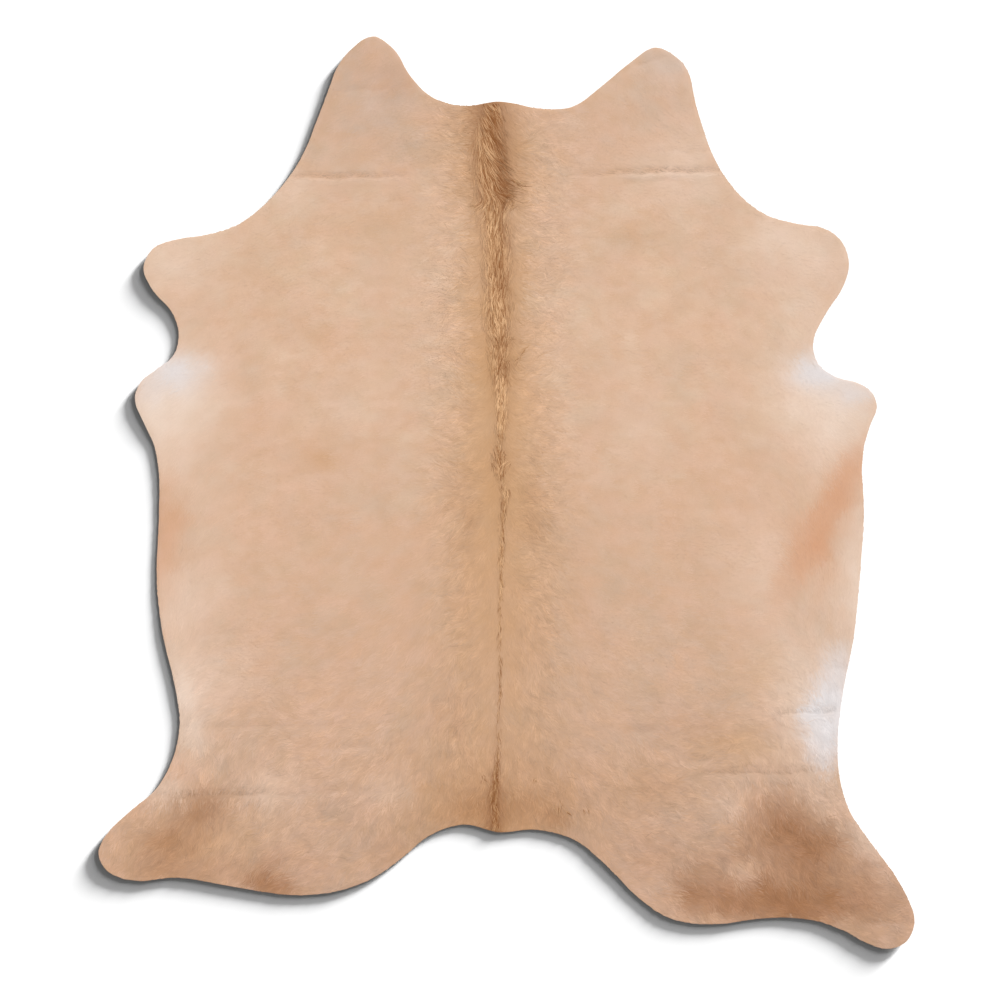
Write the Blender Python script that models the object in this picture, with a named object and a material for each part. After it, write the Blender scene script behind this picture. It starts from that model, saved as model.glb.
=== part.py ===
"""A whole cowhide rug, hair side up, lying on a floor.

The hide is one piece: tanned leather with its own short coat, trimmed to the outline of the animal's
skin. +Y runs from the tail to the neck, +X is to the right of the spine seen from above, and the
underside lies on Z = 0. The origin is under the middle of the hide's box. Lengths are in metres.
"""

import math
from collections import namedtuple

import bmesh
import bpy
import numpy as np
from mathutils import Vector
from mathutils.geometry import delaunay_2d_cdt, interpolate_bezier

# Driving dimensions. The leather is thickest along the back and thins towards the belly, and the coat
# lies flat on it. The coat thins to almost nothing at the cut edge, which curls up off the floor.
BACK_LEATHER = 0.0032
BELLY_LEATHER = 0.0022
BELLY_FROM_SPINE = 0.80
COAT_DEPTH = 0.0030
COAT_AT_CUT = 0.0006
COAT_EDGE = 0.010
CURL_BAND = 0.060

# How close the mesh's corners lie, in the open hide and along the outline, creases and mane.
OPEN_SPACING = 0.075
OUTLINE_STEPS = 3
CREASE_SPACING = 0.040
MANE_SPACING = 0.045
CLEAR_SHARE = 0.45

COAT_COLOUR = (0.680, 0.460, 0.310)
COAT_ROUGHNESS = 0.8

# The outline's landmarks, clockwise from the nape. "across" is measured from the spine and "along"
# from the root of the tail. "curl" is how far the cut edge stands off the floor there.
Landmark = namedtuple("Landmark", "name across along curl")
LANDMARKS = (
    Landmark("nape", 0.000, 1.706, 0.002),
    Landmark("right_neck_hollow", 0.114, 1.688, 0.002),
    Landmark("right_neck_side", 0.168, 1.693, 0.002),
    Landmark("right_flap_root", 0.241, 1.743, 0.003),
    Landmark("right_flap_inner", 0.304, 1.795, 0.005),
    Landmark("right_flap_tip", 0.365, 1.832, 0.006),
    Landmark("right_flap_corner", 0.431, 1.793, 0.006),
    Landmark("right_flap_outer", 0.462, 1.690, 0.004),
    Landmark("right_cheek", 0.514, 1.552, 0.003),
    Landmark("right_shoulder_top", 0.575, 1.475, 0.003),
    Landmark("right_shoulder", 0.624, 1.441, 0.003),
    Landmark("right_foreleg_root", 0.694, 1.421, 0.004),
    Landmark("right_foreleg_top", 0.769, 1.405, 0.006),
    Landmark("right_foreleg_corner", 0.799, 1.380, 0.007),
    Landmark("right_foreleg_tip", 0.817, 1.325, 0.007),
    Landmark("right_foreleg_heel", 0.804, 1.275, 0.006),
    Landmark("right_foreleg_under", 0.764, 1.212, 0.005),
    Landmark("right_armpit", 0.733, 1.135, 0.003),
    Landmark("right_armpit_under", 0.745, 1.094, 0.003),
    Landmark("right_elbow_top", 0.785, 1.064, 0.004),
    Landmark("right_elbow_corner", 0.848, 1.044, 0.006),
    Landmark("right_elbow_point", 0.874, 1.021, 0.006),
    Landmark("right_elbow_tip", 0.882, 0.994, 0.006),
    Landmark("right_elbow_under", 0.867, 0.951, 0.005),
    Landmark("right_belly_front", 0.852, 0.899, 0.003),
    Landmark("right_belly", 0.852, 0.740, 0.002),
    Landmark("right_belly_rear", 0.842, 0.589, 0.002),
    Landmark("right_flank_front", 0.827, 0.449, 0.003),
    Landmark("right_flank", 0.802, 0.320, 0.003),
    Landmark("right_waist", 0.791, 0.220, 0.003),
    Landmark("right_thigh_top", 0.793, 0.145, 0.003),
    Landmark("right_thigh", 0.818, 0.051, 0.003),
    Landmark("right_hock", 0.861, -0.015, 0.004),
    Landmark("right_hind_outer", 0.916, -0.089, 0.005),
    Landmark("right_hind_ankle", 0.952, -0.150, 0.007),
    Landmark("right_hind_tip", 0.970, -0.210, 0.008),
    Landmark("right_hind_heel", 0.951, -0.255, 0.008),
    Landmark("right_hind_toe", 0.911, -0.272, 0.008),
    Landmark("right_hind_pad", 0.862, -0.260, 0.007),
    Landmark("right_hind_inner", 0.808, -0.231, 0.006),
    Landmark("right_hind_instep", 0.745, -0.208, 0.005),
    Landmark("right_hind_hollow", 0.656, -0.199, 0.004),
    Landmark("right_breech", 0.463, -0.214, 0.004),
    Landmark("right_breech_corner", 0.397, -0.200, 0.004),
    Landmark("right_breech_inner", 0.329, -0.156, 0.003),
    Landmark("right_rump_side", 0.250, -0.077, 0.003),
    Landmark("right_rump", 0.180, -0.020, 0.002),
    Landmark("right_tail_crown", 0.084, 0.006, 0.002),
    Landmark("tail_root", 0.000, 0.000, 0.002),
    Landmark("left_tail_crown", -0.082, 0.018, 0.002),
    Landmark("left_rump", -0.161, -0.007, 0.002),
    Landmark("left_rump_side", -0.227, -0.060, 0.003),
    Landmark("left_breech_inner", -0.287, -0.103, 0.003),
    Landmark("left_breech_corner", -0.360, -0.133, 0.004),
    Landmark("left_breech", -0.465, -0.147, 0.004),
    Landmark("left_hind_instep", -0.605, -0.130, 0.004),
    Landmark("left_hind_hollow", -0.750, -0.106, 0.005),
    Landmark("left_hind_pad", -0.871, -0.110, 0.006),
    Landmark("left_hind_toe", -0.916, -0.089, 0.007),
    Landmark("left_hind_tip", -0.935, -0.049, 0.008),
    Landmark("left_hind_heel", -0.921, -0.013, 0.007),
    Landmark("left_hind_outer", -0.867, 0.044, 0.006),
    Landmark("left_hock", -0.799, 0.103, 0.004),
    Landmark("left_thigh", -0.766, 0.161, 0.003),
    Landmark("left_waist", -0.745, 0.257, 0.003),
    Landmark("left_flank", -0.755, 0.332, 0.003),
    Landmark("left_flank_front", -0.785, 0.462, 0.003),
    Landmark("left_belly_rear", -0.799, 0.589, 0.002),
    Landmark("left_belly", -0.794, 0.740, 0.002),
    Landmark("left_belly_front", -0.795, 0.848, 0.003),
    Landmark("left_elbow_back", -0.806, 0.905, 0.003),
    Landmark("left_elbow_under", -0.829, 0.955, 0.005),
    Landmark("left_elbow_tip", -0.850, 1.016, 0.006),
    Landmark("left_elbow_corner", -0.836, 1.051, 0.006),
    Landmark("left_elbow_top", -0.799, 1.081, 0.004),
    Landmark("left_armpit_under", -0.760, 1.113, 0.003),
    Landmark("left_armpit", -0.748, 1.166, 0.003),
    Landmark("left_armpit_top", -0.763, 1.213, 0.004),
    Landmark("left_foreleg_under", -0.808, 1.265, 0.006),
    Landmark("left_foreleg_tip", -0.830, 1.317, 0.007),
    Landmark("left_foreleg_corner", -0.807, 1.363, 0.007),
    Landmark("left_foreleg_top", -0.757, 1.383, 0.005),
    Landmark("left_foreleg_root", -0.682, 1.395, 0.004),
    Landmark("left_shoulder", -0.614, 1.416, 0.003),
    Landmark("left_shoulder_top", -0.547, 1.466, 0.003),
    Landmark("left_cheek", -0.470, 1.560, 0.003),
    Landmark("left_flap_outer", -0.408, 1.706, 0.004),
    Landmark("left_flap_corner", -0.360, 1.812, 0.006),
    Landmark("left_flap_tip", -0.292, 1.858, 0.006),
    Landmark("left_flap_inner", -0.243, 1.825, 0.006),
    Landmark("left_flap_root", -0.210, 1.770, 0.004),
    Landmark("left_neck_side", -0.159, 1.718, 0.003),
    Landmark("left_neck_hollow", -0.089, 1.696, 0.002),
)

# Creases left by folding the hide for storage. Each is a low ridge that lifts the whole hide a little,
# highest at its middle, from one end to the other.
Crease = namedtuple("Crease", "name start_across start_along end_across end_along rise half_width")
CREASES = (
    Crease("left_nape", -0.500, 1.532, -0.170, 1.530, 0.0022, 0.016),
    Crease("left_shoulder", -0.480, 1.478, -0.060, 1.476, 0.0010, 0.018),
    Crease("right_nape", 0.150, 1.536, 0.525, 1.549, 0.0026, 0.016),
    Crease("right_cheek", 0.350, 1.591, 0.515, 1.592, 0.0012, 0.014),
    Crease("right_flap", 0.271, 1.764, 0.425, 1.820, 0.0012, 0.014),
    Crease("left_rump", -0.745, 0.248, -0.330, 0.246, 0.0014, 0.016),
    Crease("left_haunch", -0.810, 0.092, -0.060, 0.100, 0.0026, 0.016),
    Crease("right_rump", 0.630, 0.278, 0.800, 0.280, 0.0014, 0.016),
    Crease("right_haunch", 0.430, 0.140, 0.800, 0.143, 0.0026, 0.016),
    Crease("right_hock", 0.820, -0.080, 0.915, -0.084, 0.0012, 0.014),
    Crease("right_toe", 0.800, -0.210, 0.960, -0.212, 0.0012, 0.014),
)

# The longer hair down the spine, from the nape to the tail: how far it stands over the coat, and how
# wide it spreads to each side. The tufts are the whorls where the hair changes direction.
Station = namedtuple("Station", "name along height half_width")
MANE = (
    Station("nape", 1.706, 0.0020, 0.042),
    Station("withers", 1.500, 0.0042, 0.040),
    Station("withers_tuft", 1.462, 0.0050, 0.044),
    Station("behind_withers", 1.400, 0.0036, 0.036),
    Station("shoulder_whorl", 1.158, 0.0040, 0.040),
    Station("back_tuft", 1.078, 0.0044, 0.034),
    Station("back", 0.960, 0.0024, 0.026),
    Station("loin_whorl", 0.880, 0.0034, 0.028),
    Station("loin", 0.760, 0.0020, 0.020),
    Station("rump", 0.350, 0.0018, 0.020),
    Station("tail_hair", 0.110, 0.0028, 0.026),
    Station("tail_root", 0.000, 0.0016, 0.024),
)


def smooth_outline():
    """Points along one smooth closed curve through the landmarks, as rows of across, along and curl."""
    knots = [Vector((mark.across, mark.along, mark.curl)) for mark in LANDMARKS]
    count = len(knots)
    slopes = []
    for index, knot in enumerate(knots):
        before = knot - knots[index - 1]
        after = knots[(index + 1) % count] - knot
        length_before = before.xy.length
        length_after = after.xy.length
        slope = before * (length_after / length_before) + after * (length_before / length_after)
        slopes.append(slope / (length_before + length_after))
    points = []
    for index, start in enumerate(knots):
        following = (index + 1) % count
        end = knots[following]
        handle = (end - start).xy.length / 3
        start_handle = start + slopes[index] * handle
        end_handle = end - slopes[following] * handle
        span = interpolate_bezier(start, start_handle, end_handle, end, OUTLINE_STEPS + 1)
        points += span[:-1]
    return np.array(points)


def rim_distance(points, outline):
    """Each point's distance to the outline, and the curl of the nearest place on it."""
    start = outline
    run = np.roll(outline, -1, axis=0) - start
    offset = points[:, None, :2] - start[None, :, :2]
    share = (offset * run[None, :, :2]).sum(axis=2) / (run[:, :2] ** 2).sum(axis=1)
    share = np.clip(share, 0, 1)
    gap = np.linalg.norm(offset - share[..., None] * run[None, :, :2], axis=2)
    nearest = gap.argmin(axis=1)
    rows = np.arange(len(points))
    curl = start[nearest, 2] + share[rows, nearest] * run[nearest, 2]
    return gap[rows, nearest], curl


def is_inside(points, outline):
    """Which points lie inside the outline, by counting the edges that a line to the right crosses."""
    start = outline[None, :, :2]
    end = np.roll(outline, -1, axis=0)[None, :, :2]
    x, y = points[:, 0, None], points[:, 1, None]
    spans = (start[..., 1] > y) != (end[..., 1] > y)
    rise = np.where(spans, end[..., 1] - start[..., 1], 1)
    crossing = start[..., 0] + (y - start[..., 1]) * (end[..., 0] - start[..., 0]) / rise
    return (spans & (crossing > x)).sum(axis=1) % 2 == 1


def crease_frame(points, crease):
    """How far along a crease each point lies, from -1 to 1 at its ends, and how far to its side."""
    start = np.array((crease.start_across, crease.start_along))
    end = np.array((crease.end_across, crease.end_along))
    half_length = np.linalg.norm(end - start) / 2
    direction = (end - start) / (2 * half_length)
    offset = points[:, :2] - (start + end) / 2
    side = offset @ np.array((-direction[1], direction[0]))
    return offset @ direction / half_length, side


def mane_at(along):
    """The mane's height and half width at places along the spine."""
    stations = sorted(MANE, key=lambda station: station.along)
    places = [station.along for station in stations]
    height = np.interp(along, places, [station.height for station in stations])
    half_width = np.interp(along, places, [station.half_width for station in stations])
    return height, half_width


def lift_off_floor(points, outline):
    """How far the underside stands off the floor: at the curled edge and under the creases."""
    distance, curl = rim_distance(points, outline)
    lift = curl * np.clip(1 - distance / CURL_BAND, 0, 1) ** 2
    for crease in CREASES:
        along, side = crease_frame(points, crease)
        ridge = np.clip(1 - (side / crease.half_width) ** 2, 0, 1)
        lift = lift + crease.rise * ridge * np.clip(1 - along ** 2, 0, 1)
    return lift


def thickness(points, outline):
    """Leather, coat and mane together."""
    distance, _ = rim_distance(points, outline)
    from_spine = np.abs(points[:, 0])
    belly_share = np.clip(from_spine / BELLY_FROM_SPINE, 0, 1)
    leather = BACK_LEATHER + (BELLY_LEATHER - BACK_LEATHER) * belly_share ** 2
    coat_share = np.clip(distance / COAT_EDGE, 0, 1)
    coat = COAT_AT_CUT + (COAT_DEPTH - COAT_AT_CUT) * coat_share
    height, half_width = mane_at(points[:, 1])
    mane = height * np.clip(1 - (from_spine / half_width) ** 2, 0, 1) * coat_share
    return leather + coat + mane


def inset_ring(outline, inset):
    """Points at one distance inside the outline."""
    tangent = np.roll(outline, -1, axis=0)[:, :2] - np.roll(outline, 1, axis=0)[:, :2]
    tangent /= np.linalg.norm(tangent, axis=1)[:, None]
    inward = np.column_stack((tangent[:, 1], -tangent[:, 0]))
    return outline[:, :2] + inset * inward


def crease_rows():
    """Points along the crest and both feet of every crease."""
    rows = []
    for crease in CREASES:
        start = np.array((crease.start_across, crease.start_along))
        end = np.array((crease.end_across, crease.end_along))
        length = np.linalg.norm(end - start)
        normal = np.array((start[1] - end[1], end[0] - start[0])) / length
        steps = math.ceil(length / CREASE_SPACING)
        shares = np.linspace(0, 1, steps + 1)[:, None]
        for side in (-crease.half_width, 0, crease.half_width):
            rows.append(start + shares * (end - start) + side * normal)
    return np.concatenate(rows)


def mane_rows():
    """Points along the mane's crest, its slopes and its feet."""
    length = LANDMARKS[0].along
    along = np.linspace(0, length, math.ceil(length / MANE_SPACING) + 1)[1:-1]
    _, half_width = mane_at(along)
    return np.concatenate([
        np.column_stack((side * half_width, along)) for side in (-1, -0.5, 0, 0.5, 1)
    ])


def open_lattice(outline):
    """Points of an even triangular lattice over the hide's box."""
    low = outline[:, :2].min(axis=0)
    high = outline[:, :2].max(axis=0)
    row_step = OPEN_SPACING * math.sqrt(3) / 2
    rows = []
    for index, along in enumerate(np.arange(low[1], high[1], row_step)):
        across = np.arange(low[0] + OPEN_SPACING / 2 * (index % 2), high[0], OPEN_SPACING)
        rows.append(np.column_stack((across, np.full(len(across), along))))
    return np.concatenate(rows)


def inner_points(outline):
    """The corners inside the outline, each group thinned where it comes too near the last."""
    groups = (
        (inset_ring(outline, COAT_EDGE), COAT_EDGE * 0.9, COAT_EDGE * 0.8),
        (mane_rows(), COAT_EDGE * 1.5, MANE_SPACING * CLEAR_SHARE / 2),
        (crease_rows(), COAT_EDGE * 1.5, CREASE_SPACING * CLEAR_SHARE / 2),
        (inset_ring(outline, CURL_BAND / 2)[::2], CURL_BAND * 0.45, CURL_BAND * CLEAR_SHARE),
        (open_lattice(outline), CURL_BAND * 0.75, OPEN_SPACING * CLEAR_SHARE),
    )
    kept = np.empty((0, 2))
    for points, least_inset, clear in groups:
        distance, _ = rim_distance(points, outline)
        points = points[is_inside(points, outline) & (distance > least_inset)]
        for point in points:
            if len(kept) == 0 or np.linalg.norm(kept - point, axis=1).min() > clear:
                kept = np.vstack((kept, point))
    return kept


def flat_net(outline):
    """The hide seen from above as corners and triangles, with the outline's corners first."""
    corners = [Vector(point[:2]) for point in outline]
    corners += [Vector(point) for point in inner_points(outline)]
    loop = list(range(len(outline)))[::-1]
    corners, _, triangles, sources, _, _ = delaunay_2d_cdt(corners, [], [loop], 1, 1e-6)
    order = sorted(range(len(corners)), key=lambda index: sources[index][0])
    place = {old: new for new, old in enumerate(order)}
    points = np.array([corners[old] for old in order])
    return points, [[place[old] for old in triangle] for triangle in triangles]


def hide_mesh():
    """The closed body: underside, coat side and the cut edge between them."""
    outline = smooth_outline()
    points, triangles = flat_net(outline)
    bottom = lift_off_floor(points, outline)
    top = bottom + thickness(points, outline)
    middle = (outline[:, :2].min(axis=0) + outline[:, :2].max(axis=0)) / 2
    places = points - middle
    body = bmesh.new()
    under = [body.verts.new((x, y, z)) for (x, y), z in zip(places, bottom)]
    over = [body.verts.new((x, y, z)) for (x, y), z in zip(places, top)]
    for a, b, c in triangles:
        body.faces.new((over[a], over[b], over[c]))
        body.faces.new((under[c], under[b], under[a]))
    count = len(outline)
    for here in range(count):
        following = (here + 1) % count
        body.faces.new((under[here], over[here], over[following]))
        body.faces.new((under[here], over[following], under[following]))
    bmesh.ops.recalc_face_normals(body, faces=body.faces)
    mesh = bpy.data.meshes.new("cowhide")
    body.to_mesh(mesh)
    body.free()
    mesh.shade_smooth()
    mesh.set_sharp_from_angle(angle=math.radians(40))
    return mesh


def coat_material():
    """Short beige hair, laid flat."""
    material = bpy.data.materials.new("short_beige_coat")
    material.use_nodes = True
    shader = material.node_tree.nodes["Principled BSDF"]
    shader.inputs["Base Color"].default_value = (*COAT_COLOUR, 1)
    shader.inputs["Roughness"].default_value = COAT_ROUGHNESS
    shader.inputs["Metallic"].default_value = 0
    return material


def make_cowhide():
    """One object for the one-piece hide."""
    hide = bpy.data.objects.new("cowhide", hide_mesh())
    hide.data.materials.append(coat_material())
    bpy.context.scene.collection.objects.link(hide)


for existing in list(bpy.data.objects):
    bpy.data.objects.remove(existing, do_unlink=True)
make_cowhide()
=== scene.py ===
"""The looks of a whole cowhide rug, lying hair side up on a floor and seen from straight above.

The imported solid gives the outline, the underside and the height of the hide at every place. The leather,
the short coat and the longer hair down the spine are modelled on it as meshes of their own. Places on
the hide are measured in metres from the spine ("across", to the right) and from the root of the tail
("along", towards the neck).
"""

import math
from collections import namedtuple

import bmesh
import bpy
import numpy as np
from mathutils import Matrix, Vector
from mathutils.bvhtree import BVHTree
from mathutils.geometry import delaunay_2d_cdt
from mathutils.kdtree import KDTree


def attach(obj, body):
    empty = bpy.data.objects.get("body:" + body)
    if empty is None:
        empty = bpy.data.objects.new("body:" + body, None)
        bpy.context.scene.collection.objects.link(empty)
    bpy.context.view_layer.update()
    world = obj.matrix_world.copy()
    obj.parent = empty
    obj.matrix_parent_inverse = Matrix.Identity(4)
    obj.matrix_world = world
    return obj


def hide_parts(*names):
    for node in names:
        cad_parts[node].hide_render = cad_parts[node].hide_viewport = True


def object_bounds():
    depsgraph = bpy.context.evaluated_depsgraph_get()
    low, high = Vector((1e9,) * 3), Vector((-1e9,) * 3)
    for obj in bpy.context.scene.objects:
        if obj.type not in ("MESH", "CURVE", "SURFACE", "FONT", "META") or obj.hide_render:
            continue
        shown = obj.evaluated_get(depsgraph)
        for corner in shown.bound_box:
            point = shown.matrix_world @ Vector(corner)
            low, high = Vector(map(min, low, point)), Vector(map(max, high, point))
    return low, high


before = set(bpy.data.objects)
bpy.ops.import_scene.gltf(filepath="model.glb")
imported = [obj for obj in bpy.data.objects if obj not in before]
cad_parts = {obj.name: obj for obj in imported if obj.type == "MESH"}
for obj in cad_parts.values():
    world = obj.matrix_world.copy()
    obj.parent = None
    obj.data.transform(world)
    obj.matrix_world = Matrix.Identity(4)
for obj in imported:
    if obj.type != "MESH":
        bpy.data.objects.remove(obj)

cad_low, cad_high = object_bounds()

# The camera
# It hangs straight over the hide with the neck at the top of the picture. A long lens from high up
# keeps the perspective so small that the outline is seen as it was cut.
LENS_MM = 200
SENSOR_MM = 36
PICTURE_SIDE = 2.336
PICTURE_MIDDLE = (-0.0152, -0.0174)

camera_data = bpy.data.cameras.new("overhead")
camera_data.lens = LENS_MM
camera_data.sensor_width = SENSOR_MM
camera_data.clip_end = 100
camera = bpy.data.objects.new("overhead", camera_data)
camera.location = (*PICTURE_MIDDLE, PICTURE_SIDE * LENS_MM / SENSOR_MM)
bpy.context.scene.collection.objects.link(camera)
bpy.context.scene.camera = camera


# The tanned skin
# One piece of cattle hide, chrome tanned with the hair left on. The flesh side is buffed to a pale suede,
# the edge is cut with a knife and shows the grey-blue heart of the leather, and the hair side shows between
# the hairs as a layer of their own roots, painted a little darker as shade between the hairs.
BACK_LEATHER = 0.0032
BELLY_LEATHER = 0.0022
BELLY_FROM_SPINE = 0.80
SHARP_ANGLE = 40
TAIL_ROOT = (-0.0175, -0.7930)
MAP_CELL = 0.005
MAP_MARGIN = 0.06
MAP_BLUR = 0.008
RIM_STEP = 0.004
EDGE_ROUNDING = 0.0003
ROOT_LAYER = 0.0012
ROOT_LAYER_FROM_CUT = 0.010
CURVE_STEPS = 24
NOISE_FIELD = 3.0

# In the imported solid, corners so near are one, and a face's upward share tells top from cut edge.
SAME_POINT = 1e-6
TOP_FACE_FROM = 0.5
EDGE_FACE_TO = 0.3

# The flat layout: hair side and underside next to each other, and over them the cut edge as a strip with
# its left end, width, top and bottom.
SIDE_LAYOUT = (0.48, 0.92)
TOP_LAYOUT_AT = (0.01, 0.01)
UNDERSIDE_LAYOUT_AT = (0.51, 0.01)
EDGE_LAYOUT = (0.01, 0.98, 0.99, 0.96)

# The net of the skin: rows of corners along the rim, each so far in and with every first, second or third
# of the rim's points, rows beside each crease, and an even lattice over the rest.
RIM_ROWS = ((0.0010, 1), (0.0060, 2), (0.0140, 3))
CREASES_FROM_RIM = 0.006
LATTICE_FROM_RIM = 0.021
SKIN_SPACING = 0.014
CREASE_ROW_STEP = 0.008
CREASE_ROW_SIDES = (-0.0100, -0.0065, -0.0030, 0.0, 0.0035, 0.0080)

# Creases from folding the hide: fine troughs that part the hair. On the neck's side the hair sinks in
# slowly, and on the tail's side it rises sharply to a low crest. The troughs are also painted darker, as
# painted shade in the locks' tone and as brown in their pigment. The crests are painted lighter, as painted
# light in the tone and as cream in the pigment. Each point of a crease has its place across and along and
# the crease's strength there, which scales its depth and its painted shade and light alike.
CREASE_DEPTH = 0.0009
CREASE_CREST = 0.0006
CREASE_NECK_SIDE = 0.0105
CREASE_TAIL_SIDE = 0.0030
CREST_OFFSET = 0.0085
CREST_WIDTH = 0.0060
CREASE_PAINTED_SHADE = 0.20
CREST_PAINTED_LIGHT = 0.04
PAINTED_CREASE_SHADE_BROWN = 0.10
PAINTED_CREST_LIGHT_CREAM = 0.11
CREASE_REACH = 0.03
CREASE_WANDER = ((0.0012, 61, 0), (0.0008, 173, 1))
CREASES = {
    "left_nape": ((-0.488, 1.53, 1), (-0.371, 1.529, 1.5), (-0.278, 1.532, 1.2), (-0.185, 1.532, 0)),
    "left_shoulder": ((-0.488, 1.476, 0), (-0.278, 1.474, 0.3), (-0.044, 1.479, 0.1)),
    "right_nape": ((0.152, 1.532, 0.2), (0.283, 1.538, 1), (0.4, 1.543, 1.9), (0.516, 1.542, 1.2)),
    "right_cheek": ((0.36, 1.591, 0.2), (0.502, 1.591, 0.4)),
    "right_shoulder": ((0.294, 1.521, 0.2), (0.423, 1.521, 0.3)),
    "right_flap": ((0.271, 1.766, 0.4), (0.315, 1.792, 0.5), (0.411, 1.817, 0.2)),
    "left_flap": ((-0.383, 1.729, 0.3), (-0.185, 1.743, 0.2)),
    "left_rump": ((-0.745, 0.245, 0.3), (-0.54, 0.249, 0.4), (-0.348, 0.25, 0.2)),
    "left_loin": ((-0.465, 0.199, 0.2), (-0.301, 0.199, 0.3)),
    "left_haunch": (
        (-0.804, 0.091, 0.4), (-0.757, 0.086, 0.4), (-0.699, 0.088, 0.9), (-0.582, 0.09, 1),
        (-0.5, 0.089, 0.5), (-0.348, 0.098, 0.3), (-0.021, 0.1, 0.1),
    ),
    "right_rump": ((0.642, 0.278, 0.8), (0.79, 0.283, 1.1)),
    "right_croup": ((0.294, 0.238, 0.4), (0.364, 0.238, 0.4)),
    "right_loin": ((0.423, 0.168, 0.5), (0.493, 0.168, 0.4)),
    "right_thigh": ((0.703, 0.168, 0.3), (0.785, 0.166, 0.4)),
    "right_haunch": ((0.47, 0.138, 0.7), (0.563, 0.14, 1), (0.68, 0.139, 0.8), (0.785, 0.149, 0.5)),
    "right_flank": ((0.75, 0.385, 0.2), (0.815, 0.385, 0.3)),
    "right_hock": ((0.832, -0.082, 0.5), (0.913, -0.082, 0.3)),
    "right_toe": ((0.82, -0.21, 0.3), (0.965, -0.21, 0.5)),
}

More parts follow.
